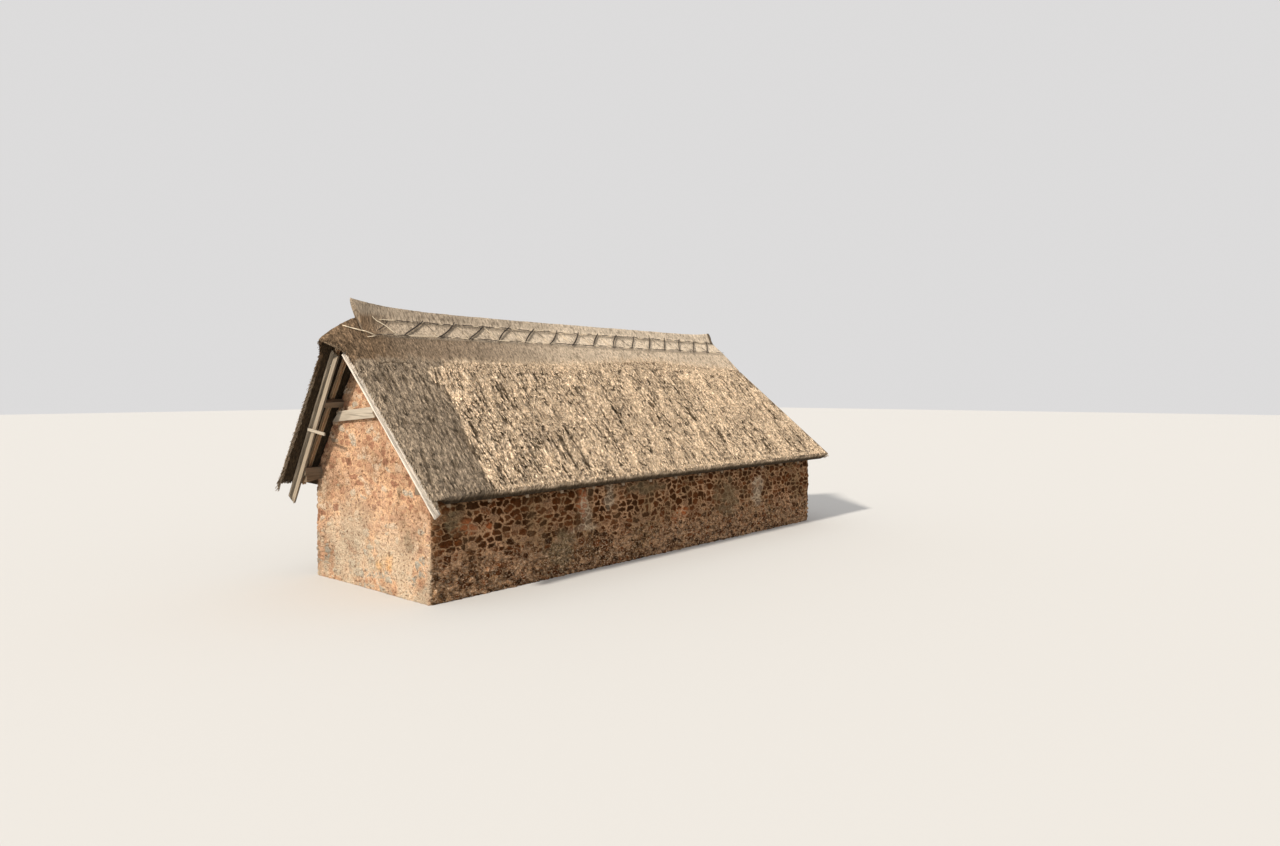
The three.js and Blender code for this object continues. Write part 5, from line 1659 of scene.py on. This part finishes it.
class BARN_OT_materials(bpy.types.Operator):
    """Make the shared node groups and every material"""

    bl_idname = "barn.materials"
    bl_label = "Materials"

    def execute(self, context):
        timber = context.scene.barn_timber
        for name, patterns in PATTERNS.items():
            add_pattern_group(name, patterns)
        straw_material(context.scene.barn_thatch)
        stone_material("rubble", context.scene.barn_stone)
        square = math.pi / 2
        for name, colour, rotation, silver in (
            ("sheltered_oak", toned(timber.brown, 2.3), None, 0.15),
            ("bleached_oak", timber.bleached, None, 0.4),
            ("tan_oak", timber.tan, None, 0.3),
            ("oak_along", toned(timber.brown, 0.62), (0, square, 0), 0.2),
            ("oak_across", timber.brown, (square, 0, 0), 0.35),
            ("grey_across", toned(timber.grey, 0.78), (square, 0, 0), 0.4),
            ("oak_front_slope", timber.brown, (math.atan(1 / FRONT_PITCH), 0, 0), 0.35),
            ("oak_rear_slope", timber.brown, (-math.atan(1 / REAR_PITCH), 0, 0), 0.35),
        ):
            wood_material(name, colour, rotation, silver)
        hazel_material(timber.bark, timber.split_hazel)
        return {"FINISHED"}


class BARN_OT_walls(bpy.types.Operator):
    """Build the rubble walls"""

    bl_idname = "barn.walls"
    bl_label = "Stone walls"

    def execute(self, context):
        stone = context.scene.barn_stone
        size = (stone.stone_length, stone.stone_height)
        red = Rubble(*size, flatter=2.0, joint=0.175, dome=0.027, mortar_high=0.014, mortar_low=-0.02,
                     broken=0.1, joint_lost=0.35, seed=20)
        pink = Rubble(*size, flatter=0.5, joint=0.15, dome=0.014, mortar_high=-0.007, mortar_low=-0.003,
                      broken=0.3, joint_lost=0.3, seed=60)
        inner_y = HALF_WIDTH - WALL_DEPTH
        side_y = HALF_WIDTH - END_MARGIN
        far_x = WALL_LENGTH - WALL_DEPTH
        left_rest = BEYOND + WALL_DEPTH + DOOR_START - LINTEL_START
        right_rest = PATH_END - BEYOND - WALL_DEPTH - (LINTEL_END - DOOR_END)
        straight = np.array([(LINTEL_END + BEYOND, HALF_WIDTH), (LINTEL_START - BEYOND, HALF_WIDTH)])
        walls = (
            ("gable_rubble", "gable_wall", gable_top, 1.15,
             (REAR_CORNER - WALL_DEPTH, FRONT_CORNER + WALL_DEPTH + 0.003),
             ((WALL_DEPTH, side_y), (WALL_DEPTH, -side_y)), {"marks": gable_marks, "gable_look": pink}),
            ("front_rubble", "front_wall", level_top(FRONT_TOP), 1,
             (FRONT_CORNER + WALL_DEPTH, FAR_CORNER - WALL_DEPTH),
             ((WALL_DEPTH, -inner_y), (far_x, -inner_y)), {"marks": front_marks}),
            ("end_rubble", "end_wall", end_top, 1.7,
             (FAR_CORNER - WALL_DEPTH, FAR_REAR_CORNER + WALL_DEPTH),
             ((far_x, -side_y), (far_x, side_y)), {}),
            ("rear_left_rubble", "rear_wall_left", rear_top, 1.6,
             (BEYOND, REAR_CORNER - WALL_DEPTH),
             ((DOOR_START - 0.01, inner_y), (WALL_DEPTH, inner_y)), {"extra": both_sides(left_rest)}),
            ("rear_right_rubble", "rear_wall_right", rear_top, 1.6,
             (FAR_REAR_CORNER + WALL_DEPTH, PATH_END - BEYOND),
             ((far_x, inner_y), (DOOR_END + 0.01, inner_y)), {"extra": both_sides(right_rest)}),
            ("rear_rubble_over_door", "rear_wall_over_door", level_top(REAR_TOP), 1.6,
             (BEYOND, BEYOND + LINTEL_END - LINTEL_START),
             ((LINTEL_END, inner_y), (LINTEL_START, inner_y)), {"bottom": LINTEL_TOP, "corners": straight}),
        )
        for name, node, top, coarser, span, inner, options in walls:
            wall = add_wall(name, span, inner, top, red, coarser * stone.face_step, **options)
            slot = "rubble_pink" if node == "gable_wall" else "rubble_red"
            finish_piece(wall, bpy.data.materials["rubble"], slot, node)
        return {"FINISHED"}


class BARN_OT_thatch(bpy.types.Operator):
    """Lay the straw coat on the two long slopes, the hipped end and the ridge"""

    bl_idname = "barn.thatch"
    bl_label = "Thatch"

    def execute(self, context):
        thatch = context.scene.barn_thatch
        for piece, slot, node in (
            (add_long_slope("front_thatch", -1, thatch), "golden_thatch", "thatch_front_slope"),
            (add_long_slope("rear_thatch", 1, thatch), "weathered_thatch", "thatch_rear_slope"),
            (add_hip_end("hip_thatch", thatch), "weathered_thatch", "thatch_hip_end"),
            (add_ridge_cap("ridge_thatch"), "weathered_thatch", "ridge_cap"),
        ):
            finish_piece(piece, bpy.data.materials["straw"], slot, node)
        return {"FINISHED"}


class BARN_OT_loose_straw(bpy.types.Operator):
    """Scatter loose straw bundles over the coat and along its edges"""

    bl_idname = "barn.loose_straw"
    bl_label = "Loose straw"

    def execute(self, context):
        thatch = context.scene.barn_thatch
        count = thatch.straw_count
        straw = bpy.data.materials["straw"]

        def scatter(name, slot, size, seed, *groups):
            finish_piece(add_straws(name, join_straws(groups), size, seed), straw, slot)

        scatter("front_straws", "golden_thatch", COAT_STRAW, 11, slope_straws(-1, count, thatch, 1))
        scatter("rear_straws", "golden_thatch", COAT_STRAW, 12, slope_straws(1, count // 2, thatch, 2))
        scatter("hip_straws", "golden_thatch", COAT_STRAW, 13, hip_straws(count // 6, 3))
        scatter("eave_straws", "weathered_thatch", EAVE_STRAW, 14,
                eave_straws(-1, 3000, 4), eave_straws(1, 2000, 5), hip_eave_straws(900, 6))
        scatter("verge_straws", "weathered_thatch", VERGE_STRAW, 16,
                verge_straws(-1, 1400, 7), verge_straws(1, 1600, 8))
        scatter("apron_straws", "golden_thatch", APRON_STRAW, 15,
                apron_straws(-1, 2600, 9), apron_straws(1, 1200, 10))
        return {"FINISHED"}


class BARN_OT_rods(bpy.types.Operator):
    """Pin the ridge down with hazel rods"""

    bl_idname = "barn.rods"
    bl_label = "Hazel rods"

    def execute(self, context):
        hazel = bpy.data.materials["split_hazel"]
        finish_piece(add_rods("front_hazel_rods", -1), hazel, "hazel", "front_ridge_rods")
        finish_piece(add_rods("rear_hazel_rods", 1), hazel, "hazel", "rear_ridge_rods")
        return {"FINISHED"}


class BARN_OT_timbers(bpy.types.Operator):
    """Hew the timbers that show, and give the frame's own timbers their grain"""

    bl_idname = "barn.timbers"
    bl_label = "Timbers"

    def execute(self, context):
        for name, side, finish, slot, wider in (
            ("front_verge_board", -1, "bleached_oak", "grey_oak", 1.05),
            ("rear_verge_board", 1, "tan_oak", "grey_oak", 1.9),
            ("front_verge_rafter", -1, "sheltered_oak", "brown_oak", 1),
            ("rear_verge_rafter", 1, "sheltered_oak", "brown_oak", 1),
            ("rear_wall_rafter", 1, "sheltered_oak", "brown_oak", 1),
        ):
            finish_piece(slope_timber(name, side, wider), bpy.data.materials[finish], slot, name)
        for finish, nodes in FRAME_TIMBERS.items():
            for node in nodes:
                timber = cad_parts[node]
                timber.data.materials.clear()
                timber.data.materials.append(bpy.data.materials[finish])
        return {"FINISHED"}


class BARN_OT_stage(bpy.types.Operator):
    """Set up the floor, the light and the camera"""

    bl_idname = "barn.stage"
    bl_label = "Stage"

    def execute(self, context):
        stage = context.scene.barn_stage
        mesh = bpy.data.meshes.new("floor")
        corners = [(FLOOR_HALF * x, FLOOR_HALF * y, 0) for x, y in ((-1, -1), (1, -1), (1, 1), (-1, 1))]
        mesh.from_pydata(corners, [], [(0, 1, 2, 3)])
        floor = bpy.data.objects.new("floor", mesh)
        context.scene.collection.objects.link(floor)
        material, tree, shader = new_material("floor")
        plug(tree, shader.inputs["Base Color"], stage.floor)
        shader.inputs["Roughness"].default_value = 0.9
        mesh.materials.append(material)

        sun = bpy.data.lights.new("key", "SUN")
        sun.energy = stage.sun_strength
        sun.angle = SUN_ANGLE
        sun.color = SUN_COLOUR
        key = bpy.data.objects.new("key", sun)
        key.rotation_mode = "QUATERNION"
        key.rotation_quaternion = Vector(TOWARDS_SUN).to_track_quat("Z", "Y")
        context.scene.collection.objects.link(key)

        world = bpy.data.worlds.new("studio")
        world.use_nodes = True
        background = world.node_tree.nodes["Background"]
        background.inputs["Color"].default_value = SKY_COLOUR
        background.inputs["Strength"].default_value = stage.sky_strength
        context.scene.world = world
        context.scene.view_settings.view_transform = "Standard"

        camera = bpy.data.cameras.new("camera")
        camera.lens = stage.lens
        camera.sensor_width = 36.0
        camera.shift_y = CAMERA_SHIFT
        camera.clip_end = 500
        eye = bpy.data.objects.new("camera", camera)
        eye.location = CAMERA_PLACE
        eye.rotation_mode = "QUATERNION"
        eye.rotation_quaternion = Vector(CAMERA_HEADING).to_track_quat("-Z", "Y")
        context.scene.collection.objects.link(eye)
        context.scene.camera = eye
        return {"FINISHED"}


class BARN_PT_panel(bpy.types.Panel):
    """Lists the barn's operators"""

    bl_idname = "BARN_PT_panel"
    bl_label = "Barn"
    bl_space_type = "VIEW_3D"
    bl_region_type = "UI"
    bl_category = "Barn"

    def draw(self, context):
        for operator in OPERATORS:
            self.layout.operator(operator.bl_idname)


OPERATORS = (BARN_OT_materials, BARN_OT_walls, BARN_OT_thatch, BARN_OT_loose_straw, BARN_OT_rods,
             BARN_OT_timbers, BARN_OT_stage)
SETTINGS = {"barn_stone": BarnStone, "barn_thatch": BarnThatch, "barn_timber": BarnTimber,
            "barn_stage": BarnStage}


def register():
    for settings in SETTINGS.values():
        bpy.utils.register_class(settings)
    for name, settings in SETTINGS.items():
        setattr(bpy.types.Scene, name, PointerProperty(type=settings))
    for made in (*OPERATORS, BARN_PT_panel):
        bpy.utils.register_class(made)


def unregister():
    for made in (BARN_PT_panel, *reversed(OPERATORS)):
        bpy.utils.unregister_class(made)
    for name, settings in SETTINGS.items():
        delattr(bpy.types.Scene, name)
        bpy.utils.unregister_class(settings)


def main():
    register()
    bpy.ops.barn.materials()
    bpy.ops.barn.walls()
    bpy.ops.barn.thatch()
    bpy.ops.barn.loose_straw()
    bpy.ops.barn.rods()
    bpy.ops.barn.timbers()
    bpy.ops.barn.stage()
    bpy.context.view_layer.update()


if __name__ == "__main__":
    main()
